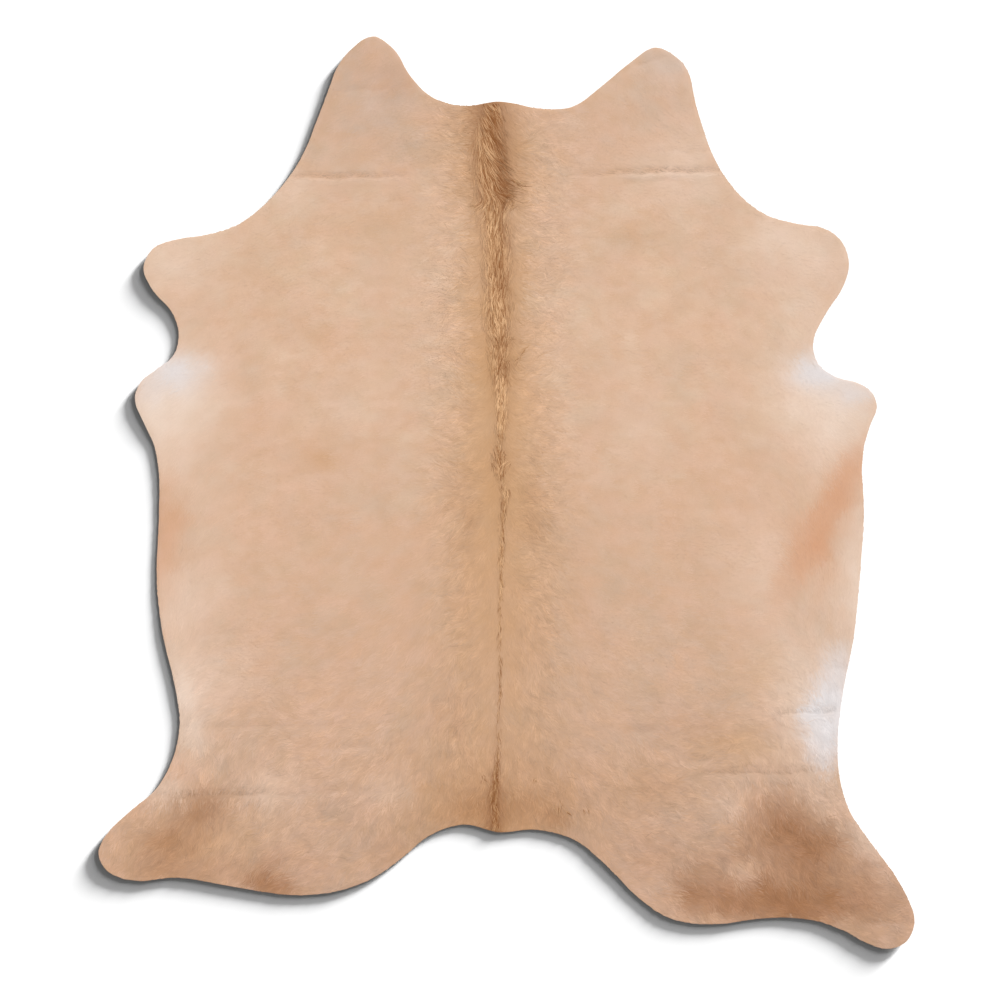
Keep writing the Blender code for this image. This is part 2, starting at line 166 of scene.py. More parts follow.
# Where the hair is not plain beige. A patch is an ellipse turned by "tilt" degrees counterclockwise. The
# crisper it is, the more quickly it ends at its edge. A negative strength clears its pigment again. Where
# a row ends early, the crispness is 1 and the tilt 0.
Patch = namedtuple(
    "Patch", "name across along half_width half_length strength crispness tilt", defaults=(1, 0),
)
PATCHES = {
    "ash": (
        ("left_breech_grey", -0.43, -0.085, 0.075, 0.05, 0.85),
        ("right_thigh_side_grey", 0.35, -0.055, 0.085, 0.075, 0.95),
        ("right_neck_grey", 0.4, 1.68, 0.06, 0.045, 0.6),
        ("left_neck", -0.26, 1.64, 0.23, 0.16, 0.78),
        ("right_neck", 0.2, 1.628, 0.2, 0.15, 0.6),
        ("left_flap", -0.305, 1.785, 0.13, 0.13, 1),
        ("right_flap", 0.364, 1.79, 0.11, 0.09, 0.45),
        ("croup_grey", 0, 0.33, 0.33, 0.13, 0.45),
        ("rump_grey", 0, 0.11, 0.27, 0.13, 0.52),
        ("left_thigh_grey", -0.5, -0.02, 0.26, 0.11, 0.45),
        ("right_thigh_grey", 0.35, -0.06, 0.14, 0.11, 0.35),
        ("right_croup", 0.446, 0.23, 0.17, 0.06, 0.35),
    ),
    "rose": (
        ("right_belly_side", 0.56, 0.7, 0.15, 0.19, 0.25),
        ("left_belly_side", -0.54, 0.776, 0.18, 0.33, 0.28),
    ),
    "tan": (
        ("left_withers", -0.29, 1.415, 0.13, 0.045, 0.25),
        ("right_withers", 0.335, 1.41, 0.095, 0.035, 0.25),
        ("left_foreleg", -0.56, 1.32, 0.09, 0.04, 0.2),
        ("left_shoulder_spot", -0.415, 1.17, 0.04, 0.035, 0.25),
        ("left_belly_tan", -0.7, 0.7, 0.07, 0.26, 0.08),
        ("left_rib", -0.413, 0.876, 0.046, 0.027, 0.6),
        ("right_thigh", 0.34, 0.11, 0.09, 0.06, 0.35),
        ("right_stifle", 0.57, 0.205, 0.115, 0.045, 0.6),
        ("right_stifle_top", 0.61, 0.365, 0.065, 0.06, 0.42),
        ("left_rump_haze", -0.15, 0.08, 0.11, 0.095, 0.35),
        ("right_rump_haze", 0.105, 0.06, 0.09, 0.06, 0.3),
        ("left_haunch_haze", -0.71, -0.02, 0.18, 0.1, 0.45, 1, 20),
    ),
    "cream": (
        ("left_neck_edge", -0.49, 1.5, 0.055, 0.06, 0.3),
        ("right_shoulder_edge", 0.635, 1.405, 0.055, 0.05, 0.38),
        ("left_flank_low", -0.722, 0.235, 0.05, 0.055, 0.42),
        ("left_haunch_edge", -0.775, 0.098, 0.045, 0.03, 0.4),
        ("left_croup_pale", -0.255, 0.1, 0.055, 0.04, 0.34),
        ("left_rib_pale", -0.348, 0.986, 0.05, 0.05, 0.26),
        ("left_flank_inner", -0.628, 0.378, 0.055, 0.06, 0.26),
        ("right_foreleg_rear", 0.71, 1.215, 0.08, 0.05, 0.32),
        ("left_belly_rear", -0.675, 0.565, 0.055, 0.065, 0.28),
        ("right_neck_edge", 0.44, 1.56, 0.1, 0.12, 0.35),
        ("left_foreleg_edge", -0.765, 1.335, 0.12, 0.08, 0.42),
        ("right_foreleg_edge", 0.725, 1.35, 0.15, 0.09, 0.45),
        ("left_armpit_fade", -0.745, 1.044, 0.105, 0.105, 0.7),
        ("left_elbow_fade", -0.79, 0.97, 0.08, 0.09, 0.75),
        ("right_armpit_fade", 0.75, 1.044, 0.128, 0.105, 0.75),
        ("right_elbow_fade", 0.79, 0.948, 0.105, 0.105, 0.74),
        ("right_flank_fade", 0.72, 0.3, 0.11, 0.19, 0.6),
        ("left_flank", -0.728, 0.32, 0.03, 0.07, 0.45, 1.2),
        ("left_flank_fade", -0.725, 0.34, 0.075, 0.12, 0.5),
        ("right_belly_hem", 0.83, 0.6, 0.045, 0.19, 0.65),
        ("right_belly_inner", 0.61, 0.62, 0.07, 0.13, 0.3),
        ("right_rib_pale", 0.32, 0.95, 0.07, 0.08, 0.2),
        ("left_belly_top", -0.762, 0.85, 0.045, 0.05, 0.45),
        ("left_belly_low", -0.757, 0.54, 0.055, 0.095, 0.5),
        ("left_belly_inner", -0.67, 0.76, 0.06, 0.2, 0.15),
        ("left_thigh_pale", -0.535, 0.104, 0.09, 0.05, 0.32),
        ("right_thigh_pale", 0.52, 0.07, 0.05, 0.035, 0.25),
        ("right_thigh_edge", 0.87, -0.03, 0.045, 0.12, 0.35, 1, 20),
    ),
    "ginger": (
        ("right_belly", 0.765, 0.745, 0.043, 0.215, 0.95, 1.5, -30),
        ("left_belly", -0.777, 0.7, 0.042, 0.15, 0.56, 1.3),
    ),
    "brown": (
        ("whorl_left_arm", -0.012, 1.17, 0.018, 0.008, 0.35, 1, -40),
        ("whorl_right_arm", 0.036, 1.158, 0.03, 0.008, 0.28, 1, 5),
        ("whorl_foot", 0.004, 1.148, 0.014, 0.01, 0.28),
        ("back_right_arm", 0.056, 1.122, 0.016, 0.008, 0.3, 1, 55),
        ("back_right_elbow", 0.036, 1.102, 0.016, 0.008, 0.3, 1, 55),
        ("back_tuft", 0.01, 1.084, 0.018, 0.014, 0.5),
        ("loin_left_curl", -0.058, 0.73, 0.014, 0.022, 0.16),
        ("loin_right_curl", 0.072, 0.722, 0.018, 0.03, 0.18, 1, 25),
        ("loin_left_haze", -0.08, 0.76, 0.04, 0.08, 0.1),
        ("loin_right_haze", 0.075, 0.78, 0.04, 0.08, 0.1),
        ("left_flap_edge", -0.23, 1.755, 0.05, 0.048, 0.18),
        ("right_croup_side", 0.47, 0.25, 0.07, 0.048, 0.15),
        ("left_breech", -0.43, -0.088, 0.055, 0.045, 0.22),
        ("left_thigh_edge", -0.255, -0.042, 0.055, 0.035, 0.15),
        ("right_thigh_side", 0.345, -0.055, 0.07, 0.06, 0.24),
        ("right_thigh_top", 0.7, 0.15, 0.055, 0.04, 0.1),
        ("right_flank_inner", 0.633, 0.24, 0.045, 0.045, 0.14),
        ("right_croup_low", 0.375, 0.098, 0.06, 0.045, 0.13),
        ("left_loin_low", -0.114, 0.285, 0.045, 0.055, 0.12),
        ("left_hock", -0.628, -0.042, 0.045, 0.04, 0.12),
        ("left_shank", -0.815, -0.02, 0.05, 0.035, 0.18),
        ("right_loin_low", 0.353, 0.24, 0.05, 0.065, 0.1),
        ("loin_brown", 0, 0.55, 0.32, 0.42, 0.06),
        ("rear_brown", 0, 0.02, 0.56, 0.16, 0.11),
        ("rump_brown", 0.01, 0.075, 0.23, 0.11, 0.18),
        ("left_rump_brown", -0.06, 0.055, 0.07, 0.045, 0.35, 1.2),
        ("right_rump_brown", 0.075, 0.065, 0.075, 0.045, 0.32, 1.2),
        ("right_rump_tuft", 0.14, 0.035, 0.024, 0.024, 0.35),
        ("left_haunch", -0.732, 0.005, 0.13, 0.052, 0.54, 1.3, 42),
        ("left_haunch_top", -0.695, 0.064, 0.08, 0.032, 0.26, 1.4),
        ("left_haunch_low", -0.724, -0.084, 0.13, 0.034, 0.38, 1.2),
        ("left_haunch_hem", -0.532, -0.122, 0.068, 0.034, 0.92, 1.4, -12),
        ("left_haunch_inner", -0.515, -0.066, 0.05, 0.026, 0.4),
        ("right_haunch", 0.65, -0.07, 0.125, 0.118, 0.66, 1.8),
        ("right_haunch_top", 0.652, 0.062, 0.06, 0.06, 0.58, 1.4),
        ("right_haunch_core", 0.722, -0.012, 0.078, 0.054, 0.7, 1.5),
        ("right_haunch_low", 0.668, -0.168, 0.185, 0.052, 0.76, 1.6),
        ("right_haunch_edge", 0.772, -0.112, 0.075, 0.085, 0.45, 1.2),
        ("right_haunch_inner", 0.466, -0.146, 0.076, 0.052, 0.75, 1.4),
        ("right_haunch_haze", 0.47, -0.08, 0.075, 0.05, 0.3),
        ("right_haunch_island", 0.578, -0.084, 0.046, 0.024, -1, 1.4),
        ("right_foot", 0.885, -0.15, 0.105, 0.095, 0.41),
    ),
    "white": (
        ("right_flap_pale", 0.4, 1.79, 0.055, 0.045, 0.24),
        ("left_elbow", -0.82, 1.03, 0.045, 0.032, 0.34),
        ("right_elbow", 0.825, 1.03, 0.045, 0.032, 0.78),
        ("left_flap_pale", -0.29, 1.7, 0.045, 0.045, 0.14),
        ("left_armpit", -0.756, 1.075, 0.074, 0.047, 0.86, 1.3),
        ("right_armpit", 0.744, 1.078, 0.068, 0.042, 1, 1.3),
        ("right_flank", 0.762, 0.262, 0.064, 0.105, 1, 3),
        ("right_flank_top", 0.79, 0.375, 0.044, 0.065, 0.75, 1.5),
    ),
}

# How far the patches' edges wander and fray, how wide those waves are, and how much the patches thin out
# inside.
PATCH_WANDER = 0.011
PATCH_WANDER_SIZE = 0.045
PATCH_FRAY = 0.008
PATCH_FRAY_SIZE = 0.016
PATCH_THINNING = 0.30
PATCH_THINNING_SIZE = 0.030

# Soft clouds of greyer, redder and rosier hair all over the hide.
Cloud = namedtuple("Cloud", "pigment size strength")
CLOUDS = (
    Cloud("fawn", 0.100, 0.22),
    Cloud("fawn", 0.038, 0.32),
    Cloud("tan", 0.014, 0.36),
    Cloud("rose", 0.070, 0.42),
    Cloud("rose", 0.024, 0.44),
)

# The darker line of the back: how wide the haze of tan hair is and how strong, and where the dark core's
# middle runs, how wide it is and how strong.
BackLine = namedtuple("BackLine", "name along haze_width haze core_middle core_width core")
BACK_LINE = [BackLine(*row) for row in (
    ("nape", 1.706, 0.092, 0.75, -0.022, 0.05, 0.56),
    ("neck", 1.6, 0.108, 0.88, -0.014, 0.044, 0.64),
    ("neck_rear", 1.54, 0.104, 0.9, -0.008, 0.042, 0.68),
    ("withers", 1.49, 0.096, 0.9, -0.004, 0.044, 0.62),
    ("withers_break", 1.45, 0.078, 0.75, -0.004, 0.036, 0.3),
    ("behind_withers", 1.4, 0.076, 0.78, -0.004, 0.032, 0.42),
    ("shoulders", 1.27, 0.08, 0.9, -0.001, 0.03, 0.46),
    ("shoulder_whorl", 1.16, 0.084, 0.96, 0.003, 0.028, 0.28),
    ("back", 1.06, 0.09, 0.94, 0.004, 0.024, 0.2),
    ("back_rear", 0.96, 0.102, 0.86, 0.002, 0.016, 0.1),
    ("loin_whorl", 0.88, 0.11, 0.88, 0.002, 0.018, 0.22),
    ("loin", 0.8, 0.12, 0.88, 0.006, 0.014, 0.06),
    ("loin_rear", 0.635, 0.135, 0.72, 0.006, 0.008, 0.02),
    ("croup_front", 0.495, 0.145, 0.64, 0.002, 0.006, 0.03),
    ("croup", 0.35, 0.155, 0.5, 0, 0.006, 0.1),
    ("rump", 0.215, 0.165, 0.5, -0.003, 0.007, 0.18),
    ("tail", 0.075, 0.165, 0.68, -0.01, 0.02, 0.44),
    ("tail_root", 0, 0.165, 0.7, -0.01, 0.024, 0.5),
)]

# The hair's pigments, in the order in which they are laid over each other.
PIGMENTS = {
    "fawn": "#BB9D87",
    "ash": "#BFA896",
    "rose": "#E5B89D",
    "tan": "#C99A6C",
    "cream": "#F0DAC9",
    "ginger": "#D69E79",
    "brown": "#955F31",
    "chestnut": "#7E4514",
    "gold": "#E6B98C",
    "white": "#E4DEDE",
}
BEIGE = "#E2C6AC"

# The haze lies a little to the left of the core and is thinned out as the patches are, but less. Towards
# the tail the whole coat turns fawn.
HAZE_TO_LEFT = 0.005
HAZE_EVENNESS = 0.6
FAWN_FROM = 0.95
FAWN_TO = -0.10


def linear(hex_colour):
    """A colour written as sRGB hex, as linear light."""
    parts = [int(hex_colour[place:place + 2], 16) / 255 for place in (1, 3, 5)]
    return tuple(p / 12.92 if p <= 0.04045 else ((p + 0.055) / 1.055) ** 2.4 for p in parts)


def add_node(tree, kind, inputs=None, **settings):
    """A node of that kind with its settings. An input is a value or another node's output."""
    node = tree.nodes.new(kind)
    for name, value in settings.items():
        setattr(node, name, value)
    for name, value in (inputs or {}).items():
        if isinstance(value, bpy.types.NodeSocket):
            tree.links.new(value, node.inputs[name])
        else:
            node.inputs[name].default_value = value
    return node


def as_world(across_along):
    """Places on the hide as places in the frame."""
    return np.asarray(across_along, float) + np.array(TAIL_ROOT)


def as_hide(places):
    """Places in the frame as across and along."""
    return places[:, :2] - np.array(TAIL_ROOT)


def welded_frame_mesh():
    """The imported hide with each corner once, as a bmesh."""
    body = bmesh.new()
    body.from_mesh(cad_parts["cowhide"].data)
    bmesh.ops.remove_doubles(body, verts=body.verts, dist=SAME_POINT)
    bmesh.ops.recalc_face_normals(body, faces=body.faces)
    body.normal_update()
    return body


def rim_points(body):
    """The cut edge's corners in order, clockwise from any one of them."""
    following = {}
    for edge in body.edges:
        over = [face for face in edge.link_faces if face.normal.z > TOP_FACE_FROM]
        beside = [face for face in edge.link_faces if abs(face.normal.z) < EDGE_FACE_TO]
        if len(over) == 1 and len(beside) == 1:
            for loop in beside[0].loops:
                if loop.edge == edge:
                    following[loop.vert.index] = loop.link_loop_next.vert.index
    body.verts.ensure_lookup_table()
    start = next(iter(following))
    chain = [start]
    while following[chain[-1]] != start:
        chain.append(following[chain[-1]])
    corners = np.array([body.verts[index].co[:2] for index in chain])
    area = np.cross(corners, np.roll(corners, -1, axis=0)).sum()
    return corners if area < 0 else corners[::-1]


def smooth_rim(corners, step):
    """One smooth closed curve through the corners, with a point every step."""
    before = np.roll(corners, 1, axis=0)
    after = np.roll(corners, -1, axis=0)
    beyond = np.roll(corners, -2, axis=0)
    shares = np.linspace(0, 1, CURVE_STEPS, endpoint=False)[None, :, None]
    start, end = corners[:, None], after[:, None]
    start_slope = (after - before)[:, None] / 2
    end_slope = (beyond - corners)[:, None] / 2
    curve = (
        (2 * shares ** 3 - 3 * shares ** 2 + 1) * start
        + (shares ** 3 - 2 * shares ** 2 + shares) * start_slope
        + (3 * shares ** 2 - 2 * shares ** 3) * end
        + (shares ** 3 - shares ** 2) * end_slope
    ).reshape(-1, 2)
    closed = np.vstack((curve, curve[:1]))
    run = np.concatenate(([0], np.cumsum(np.linalg.norm(np.diff(closed, axis=0), axis=1))))
    places = np.linspace(0, run[-1], round(run[-1] / step), endpoint=False)
    return np.column_stack([np.interp(places, run, closed[:, axis]) for axis in (0, 1)])


def blurred(values, known, cells):
    """The values blurred over that many cells, with the unknown ones filled from their neighbours."""
    reach = math.ceil(cells * 4)
    weights = np.exp(-0.5 * (np.arange(-reach, reach + 1) / cells) ** 2)

    def blur(field):
        for axis in (0, 1):
            field = sum(
                weight * np.roll(field, shift - reach, axis=axis)
                for shift, weight in enumerate(weights)
            )
        return field

    share = blur(known.astype(float))
    return blur(np.where(known, values, 0)) / np.maximum(share, 1e-9)


def between(grid, spots, eased=False):
    """A grid's value at each spot, given in cells, from the four grid points around it."""
    spots = np.clip(spots, 0, np.array(grid.shape) - 1.001)
    cell = spots.astype(int)
    share = spots - cell
    if eased:
        share = share * share * (3 - 2 * share)
    column, row = cell.T
    near = grid[column, row] * (1 - share[:, 1]) + grid[column, row + 1] * share[:, 1]
    far = grid[column + 1, row] * (1 - share[:, 1]) + grid[column + 1, row + 1] * share[:, 1]
    return near * (1 - share[:, 0]) + far * share[:, 0]


def soft_noise(places, size, seed):
    """Smooth noise from -1 to 1 whose lumps are about that size. Each seed gives one field."""
    side = math.ceil(NOISE_FIELD / size) + 2
    grid = np.random.default_rng(seed).uniform(-1, 1, (side, side))
    return between(grid, (places[:, :2] + NOISE_FIELD / 2) / size, eased=True)


def near_tree(points):
    """A search tree that finds the nearest of these points."""
    tree = KDTree(len(points))
    for index, (x, y) in enumerate(points):
        tree.insert((x, y, 0), index)
    tree.balance()
    return tree


class HideMap:
    """The underside's height, and how far each place lies inside the cut edge, on an even grid."""

    def __init__(self):
        body = welded_frame_mesh()
        self.rim = smooth_rim(rim_points(body), RIM_STEP)
        tree = BVHTree.FromBMesh(body)
        body.free()
        near = near_tree(smooth_rim(self.rim, RIM_STEP / 4))
        self.low = np.array(cad_low[:2]) - MAP_MARGIN
        size = np.array(cad_high[:2]) + MAP_MARGIN - self.low
        shape = tuple(np.ceil(size / MAP_CELL).astype(int) + 1)
        under, inside, self.depth = np.zeros(shape), np.zeros(shape, bool), np.zeros(shape)
        for cell in np.ndindex(shape):
            x, y = self.low + np.array(cell) * MAP_CELL
            place = tree.ray_cast((x, y, -1), (0, 0, 1))[0]
            distance = near.find((x, y, 0))[2]
            inside[cell] = place is not None
            under[cell] = place.z if inside[cell] else 0
            self.depth[cell] = distance if inside[cell] else -distance
        self.under = blurred(under, inside, MAP_BLUR / MAP_CELL)

    def look_up(self, field, places):
        """A field's value at each place, between the grid's points."""
        return between(field, (places[:, :2] - self.low) / MAP_CELL)


def crease_runs():
    """Each straight run of a crease: its start, its way, its length, and its strength at both ends."""
    for points in CREASES.values():
        for start, end in zip(points, points[1:]):
            first, last = np.array(start[:2]), np.array(end[:2])
            yield first, last - first, np.linalg.norm(last - first), start[2], end[2]


def crease_places(step):
    """Points along every crease, as rows of across, along and the way over to its neck side."""
    rows = []
    for start, run, length, _, _ in crease_runs():
        normal = np.array((-run[1], run[0])) / length
        normal *= 1 if normal[1] > 0 else -1
        for share in np.linspace(0, 1, math.ceil(length / step), endpoint=False):
            rows.append((*(start + share * run), *normal))
    return np.array(rows)


def crease_at(places):
    """How deep each place lies in a crease, from 0 to its strength, and how high on its crest."""
    hide = as_hide(places)
    trough = np.zeros(len(hide))
    crest = np.zeros(len(hide))
    wander = sum(amount * np.sin(hide[:, 0] * rate + phase) for amount, rate, phase in CREASE_WANDER)
    for start, run, length, first, last in crease_runs():
        along = (hide - start) @ run / length ** 2
        side = (hide - start) @ np.array((-run[1], run[0])) / length
        side = side * np.sign(run[0]) + wander
        close = (along >= 0) & (along < 1) & (np.abs(side) < CREASE_REACH)
        strength = first + along * (last - first)
        width = np.where(side > 0, CREASE_NECK_SIDE, CREASE_TAIL_SIDE)
        dip = strength * np.exp(-(side / width) ** 2)
        rise = strength * np.exp(-((side + CREST_OFFSET) / CREST_WIDTH) ** 2)
        trough = np.where(close, np.maximum(trough, dip), trough)
        crest = np.where(close, np.maximum(crest, rise), crest)
    return trough, crest


def along_the_spine(stations, along):
    """Every column of a table of stations at places along the spine, by name."""
    stations = stations[::-1]
    places = [station.along for station in stations]
    return {
        column: np.interp(along, places, [getattr(station, column) for station in stations])
        for column in stations[0]._fields[2:]
    }


def pigments_at(places):
    """The strength of each pigment at each place, from 0 to 1."""
    hide = as_hide(places)
    wander = np.column_stack([
        PATCH_WANDER * soft_noise(places, PATCH_WANDER_SIZE, seed)
        + PATCH_FRAY * soft_noise(places, PATCH_FRAY_SIZE, seed + 1)
        for seed in (31, 41)
    ])
    across, along = (hide + wander).T
    thinned = 1 - PATCH_THINNING * (0.5 + 0.5 * soft_noise(places, PATCH_THINNING_SIZE, 51))
    bare = {name: np.ones(len(hide)) for name in PIGMENTS}
    for pigment, rows in PATCHES.items():
        for patch in (Patch(*row) for row in rows):
            turn = math.radians(patch.tilt)
            x = (across - patch.across) * math.cos(turn) + (along - patch.along) * math.sin(turn)
            y = (along - patch.along) * math.cos(turn) - (across - patch.across) * math.sin(turn)
            spread = (x / patch.half_width) ** 2 + (y / patch.half_length) ** 2
            shown = patch.strength * thinned * np.exp(-spread ** patch.crispness)
            bare[pigment] = np.minimum(bare[pigment] * (1 - shown), 1)
    for seed, cloud in enumerate(CLOUDS, start=61):
        bare[cloud.pigment] *= 1 - cloud.strength * (0.5 + 0.5 * soft_noise(places, cloud.size, seed))
    line = along_the_spine(BACK_LINE, hide[:, 1])
    haze = line["haze"] * (HAZE_EVENNESS + (1 - HAZE_EVENNESS) * thinned)
    from_haze = (across - line["core_middle"] + HAZE_TO_LEFT) / line["haze_width"]
    from_core = (hide[:, 0] - line["core_middle"]) / line["core_width"]
    bare["tan"] *= 1 - haze * np.exp(-from_haze ** 2)
    bare["chestnut"] *= 1 - line["core"] * np.exp(-from_core ** 2)
    fawn = np.clip((FAWN_FROM - along) / (FAWN_FROM - FAWN_TO), 0, 1)
    bare["fawn"] *= 1 - fawn
    # Painted shade in the creases' troughs, as brown hair, and painted light on their crests, as cream
    # hair.
    trough, crest = crease_at(places)
    bare["brown"] *= 1 - PAINTED_CREASE_SHADE_BROWN * trough
    bare["cream"] *= 1 - PAINTED_CREST_LIGHT_CREAM * crest
    return {name: 1 - left for name, left in bare.items()}


def leather_at(places):
    """The leather's thickness."""
    from_spine = np.abs(as_hide(places)[:, 0])
    share = np.clip(from_spine / BELLY_FROM_SPINE, 0, 1)
    return BACK_LEATHER + (BELLY_LEATHER - BACK_LEATHER) * share ** 2


def skin_top(places):
    """The height of the leather's hair side."""
    trough, crest = crease_at(places)
    fold = CREASE_CREST * crest - CREASE_DEPTH * trough
    depth = hide_map.look_up(hide_map.depth, places)
    root_layer = ROOT_LAYER * np.clip(depth / ROOT_LAYER_FROM_CUT, 0, 1)
    return hide_map.look_up(hide_map.under, places) + leather_at(places) + root_layer + fold


def inset_ring(inset):
    """Points at one distance inside the rim."""
    tangent = np.roll(hide_map.rim, -1, axis=0) - np.roll(hide_map.rim, 1, axis=0)
    tangent /= np.linalg.norm(tangent, axis=1)[:, None]
    return hide_map.rim + inset * np.column_stack((tangent[:, 1], -tangent[:, 0]))


def lattice(spacing):
    """Points of an even triangular lattice over the hide's box."""
    rows = []
    for index, y in enumerate(np.arange(cad_low.y, cad_high.y, spacing * math.sqrt(3) / 2)):
        x = np.arange(cad_low.x + spacing / 2 * (index % 2), cad_high.x, spacing)
        rows.append(np.column_stack((x, np.full(len(x), y))))
    return np.concatenate(rows)


def skin_net():
    """The leather seen from above as corners and triangles, with the rim's corners first."""
    rings = [inset_ring(inset)[::every] for inset, every in RIM_ROWS]
    creases = crease_places(CREASE_ROW_STEP)
    rows = np.concatenate([as_world(creases[:, :2] + side * creases[:, 2:]) for side in CREASE_ROW_SIDES])
    rows = rows[hide_map.look_up(hide_map.depth, rows) > CREASES_FROM_RIM]
    open_points = lattice(SKIN_SPACING)
    open_points = open_points[hide_map.look_up(hide_map.depth, open_points) > LATTICE_FROM_RIM]
    near = near_tree(rows)
    clear = np.array([near.find((x, y, 0))[2] > SKIN_SPACING / 2 for x, y in open_points])
    points = np.concatenate((hide_map.rim, *rings, rows, open_points[clear]))
    loop = list(range(len(hide_map.rim)))[::-1]
    corners, _, triangles, sources, _, _ = delaunay_2d_cdt(
        [Vector(point) for point in points], [], [loop], 1, SAME_POINT
    )
    order = sorted(range(len(corners)), key=lambda index: sources[index][0] if sources[index] else math.inf)
    place = {old: new for new, old in enumerate(order)}
    return np.array([corners[old] for old in order]), np.array([[place[c] for c in t] for t in triangles])


def mesh_piece(name, corners, triangles, floats, materials, slots=None, normals=None):
    """An object from arrays of corners and triangles, with named values at its corners."""
    mesh = bpy.data.meshes.new(name)
    mesh.vertices.add(len(corners))
    mesh.vertices.foreach_set("co", np.ascontiguousarray(corners, np.float32).ravel())
    mesh.loops.add(len(triangles) * 3)
    mesh.loops.foreach_set("vertex_index", np.ascontiguousarray(triangles, np.int32).ravel())
    mesh.polygons.add(len(triangles))
    mesh.polygons.foreach_set("loop_start", np.arange(0, len(triangles) * 3, 3, dtype=np.int32))
    for material in materials:
        mesh.materials.append(material)
    if slots is not None:
        mesh.polygons.foreach_set("material_index", np.ascontiguousarray(slots, np.int32))
    for key, values in floats.items():
        layer = mesh.attributes.new(key, "FLOAT", "POINT")
        layer.data.foreach_set("value", np.ascontiguousarray(values, np.float32))
    mesh.update(calc_edges=True)
    mesh.shade_smooth()
    if normals is not None:
        mesh.normals_split_custom_set_from_vertices(normals)
    piece = bpy.data.objects.new(name, mesh)
    bpy.context.scene.collection.objects.link(piece)
    return piece


def lay_out(piece, corner_uv):
    """Gives the piece a flat layout, one place for each corner of each triangle."""
    layer = piece.data.uv_layers.new(name="OFBake")
    layer.uv.foreach_set("vector", np.ascontiguousarray(corner_uv, np.float32).ravel())


def seen_from_above(places):
    """Places seen from above, as shares of the sides of their box."""
    low, high = places[:, :2].min(axis=0), places[:, :2].max(axis=0)
    return (places[:, :2] - low) / (high - low)


def hair_colour(tree, tone):
    """The hair's colour from the pigments at each corner, as an output, times a tone."""
    colour = add_node(tree, "ShaderNodeRGB")
    colour.outputs[0].default_value = (*linear(BEIGE), 1)
    colour = colour.outputs[0]
    for name, shade in PIGMENTS.items():
        strength = add_node(tree, "ShaderNodeAttribute", attribute_name=name)
        mix = add_node(tree, "ShaderNodeMix", data_type="RGBA")
        tree.links.new(strength.outputs["Fac"], mix.inputs[0])
        tree.links.new(colour, mix.inputs[6])
        mix.inputs[7].default_value = (*linear(shade), 1)
        colour = mix.outputs[2]
    toned = add_node(tree, "ShaderNodeVectorMath", {0: colour, 1: tone}, operation="MULTIPLY")
    return toned.outputs[0]


def new_material(name, roughness, specular):
    """A material with an empty tree but for its shader and output."""
    material = bpy.data.materials.new(name)
    material.use_nodes = True
    shader = material.node_tree.nodes["Principled BSDF"]
    shader.inputs["Roughness"].default_value = roughness
    shader.inputs["Specular IOR Level"].default_value = specular
    return material, material.node_tree, shader


def hair_roots_material():
    """The hair side of the skin: the roots of the coat, painted a little darker than the hair over them as
    shade between the hairs.
    """
    material, tree, shader = new_material("hair_roots_on_skin", 0.8, 0.2)
    grain = add_node(tree, "ShaderNodeTexNoise", {"Scale": 1 / 0.004, "Detail": 3})
    grain.inputs["Roughness"].default_value = 0.6
    place = add_node(tree, "ShaderNodeNewGeometry")
    tree.links.new(place.outputs["Position"], grain.inputs["Vector"])
    # The roots' tone runs from 0.96 to 1.00 by a fine grain: a little darker than the hair, as painted
    # shade between the hairs.
    tone = add_node(tree, "ShaderNodeMapRange", {
        "Value": grain.outputs["Fac"], "From Min": 0.3, "From Max": 0.7, "To Min": 0.96, "To Max": 1.00,
    })
    tree.links.new(hair_colour(tree, tone.outputs["Result"]), shader.inputs["Base Color"])
    return material


def suede_material():
    """The flesh side, buffed: a pale grey-tan nap, cloudy over centimetres and fibrous over millimetres."""
    material, tree, shader = new_material("buffed_suede", 0.95, 0.15)
    place = add_node(tree, "ShaderNodeNewGeometry")
    clouds = add_node(tree, "ShaderNodeTexNoise", {
        "Vector": place.outputs["Position"], "Scale": 1 / 0.12, "Detail": 4, "Roughness": 0.55,
    })
    nap = add_node(tree, "ShaderNodeTexNoise", {
        "Vector": place.outputs["Position"], "Scale": 1 / 0.0025, "Detail": 4, "Roughness": 0.65,
    })
    blend = add_node(tree, "ShaderNodeMath", {0: clouds.outputs["Fac"], 1: nap.outputs["Fac"]})
    half = add_node(tree, "ShaderNodeMath", {0: blend.outputs[0], 1: 0.5}, operation="MULTIPLY")
    shade = add_node(tree, "ShaderNodeValToRGB", {"Fac": half.outputs[0]})
    shade.color_ramp.elements[0].position = 0.35
    shade.color_ramp.elements[0].color = (*linear("#A5978A"), 1)
    shade.color_ramp.elements[1].position = 0.65
    shade.color_ramp.elements[1].color = (*linear("#C9BEB2"), 1)
    bump = add_node(tree, "ShaderNodeBump", {
        "Height": nap.outputs["Fac"], "Strength": 0.5, "Distance": 0.0006,
    })
    tree.links.new(shade.outputs["Color"], shader.inputs["Base Color"])
    tree.links.new(bump.outputs["Normal"], shader.inputs["Normal"])
    return material


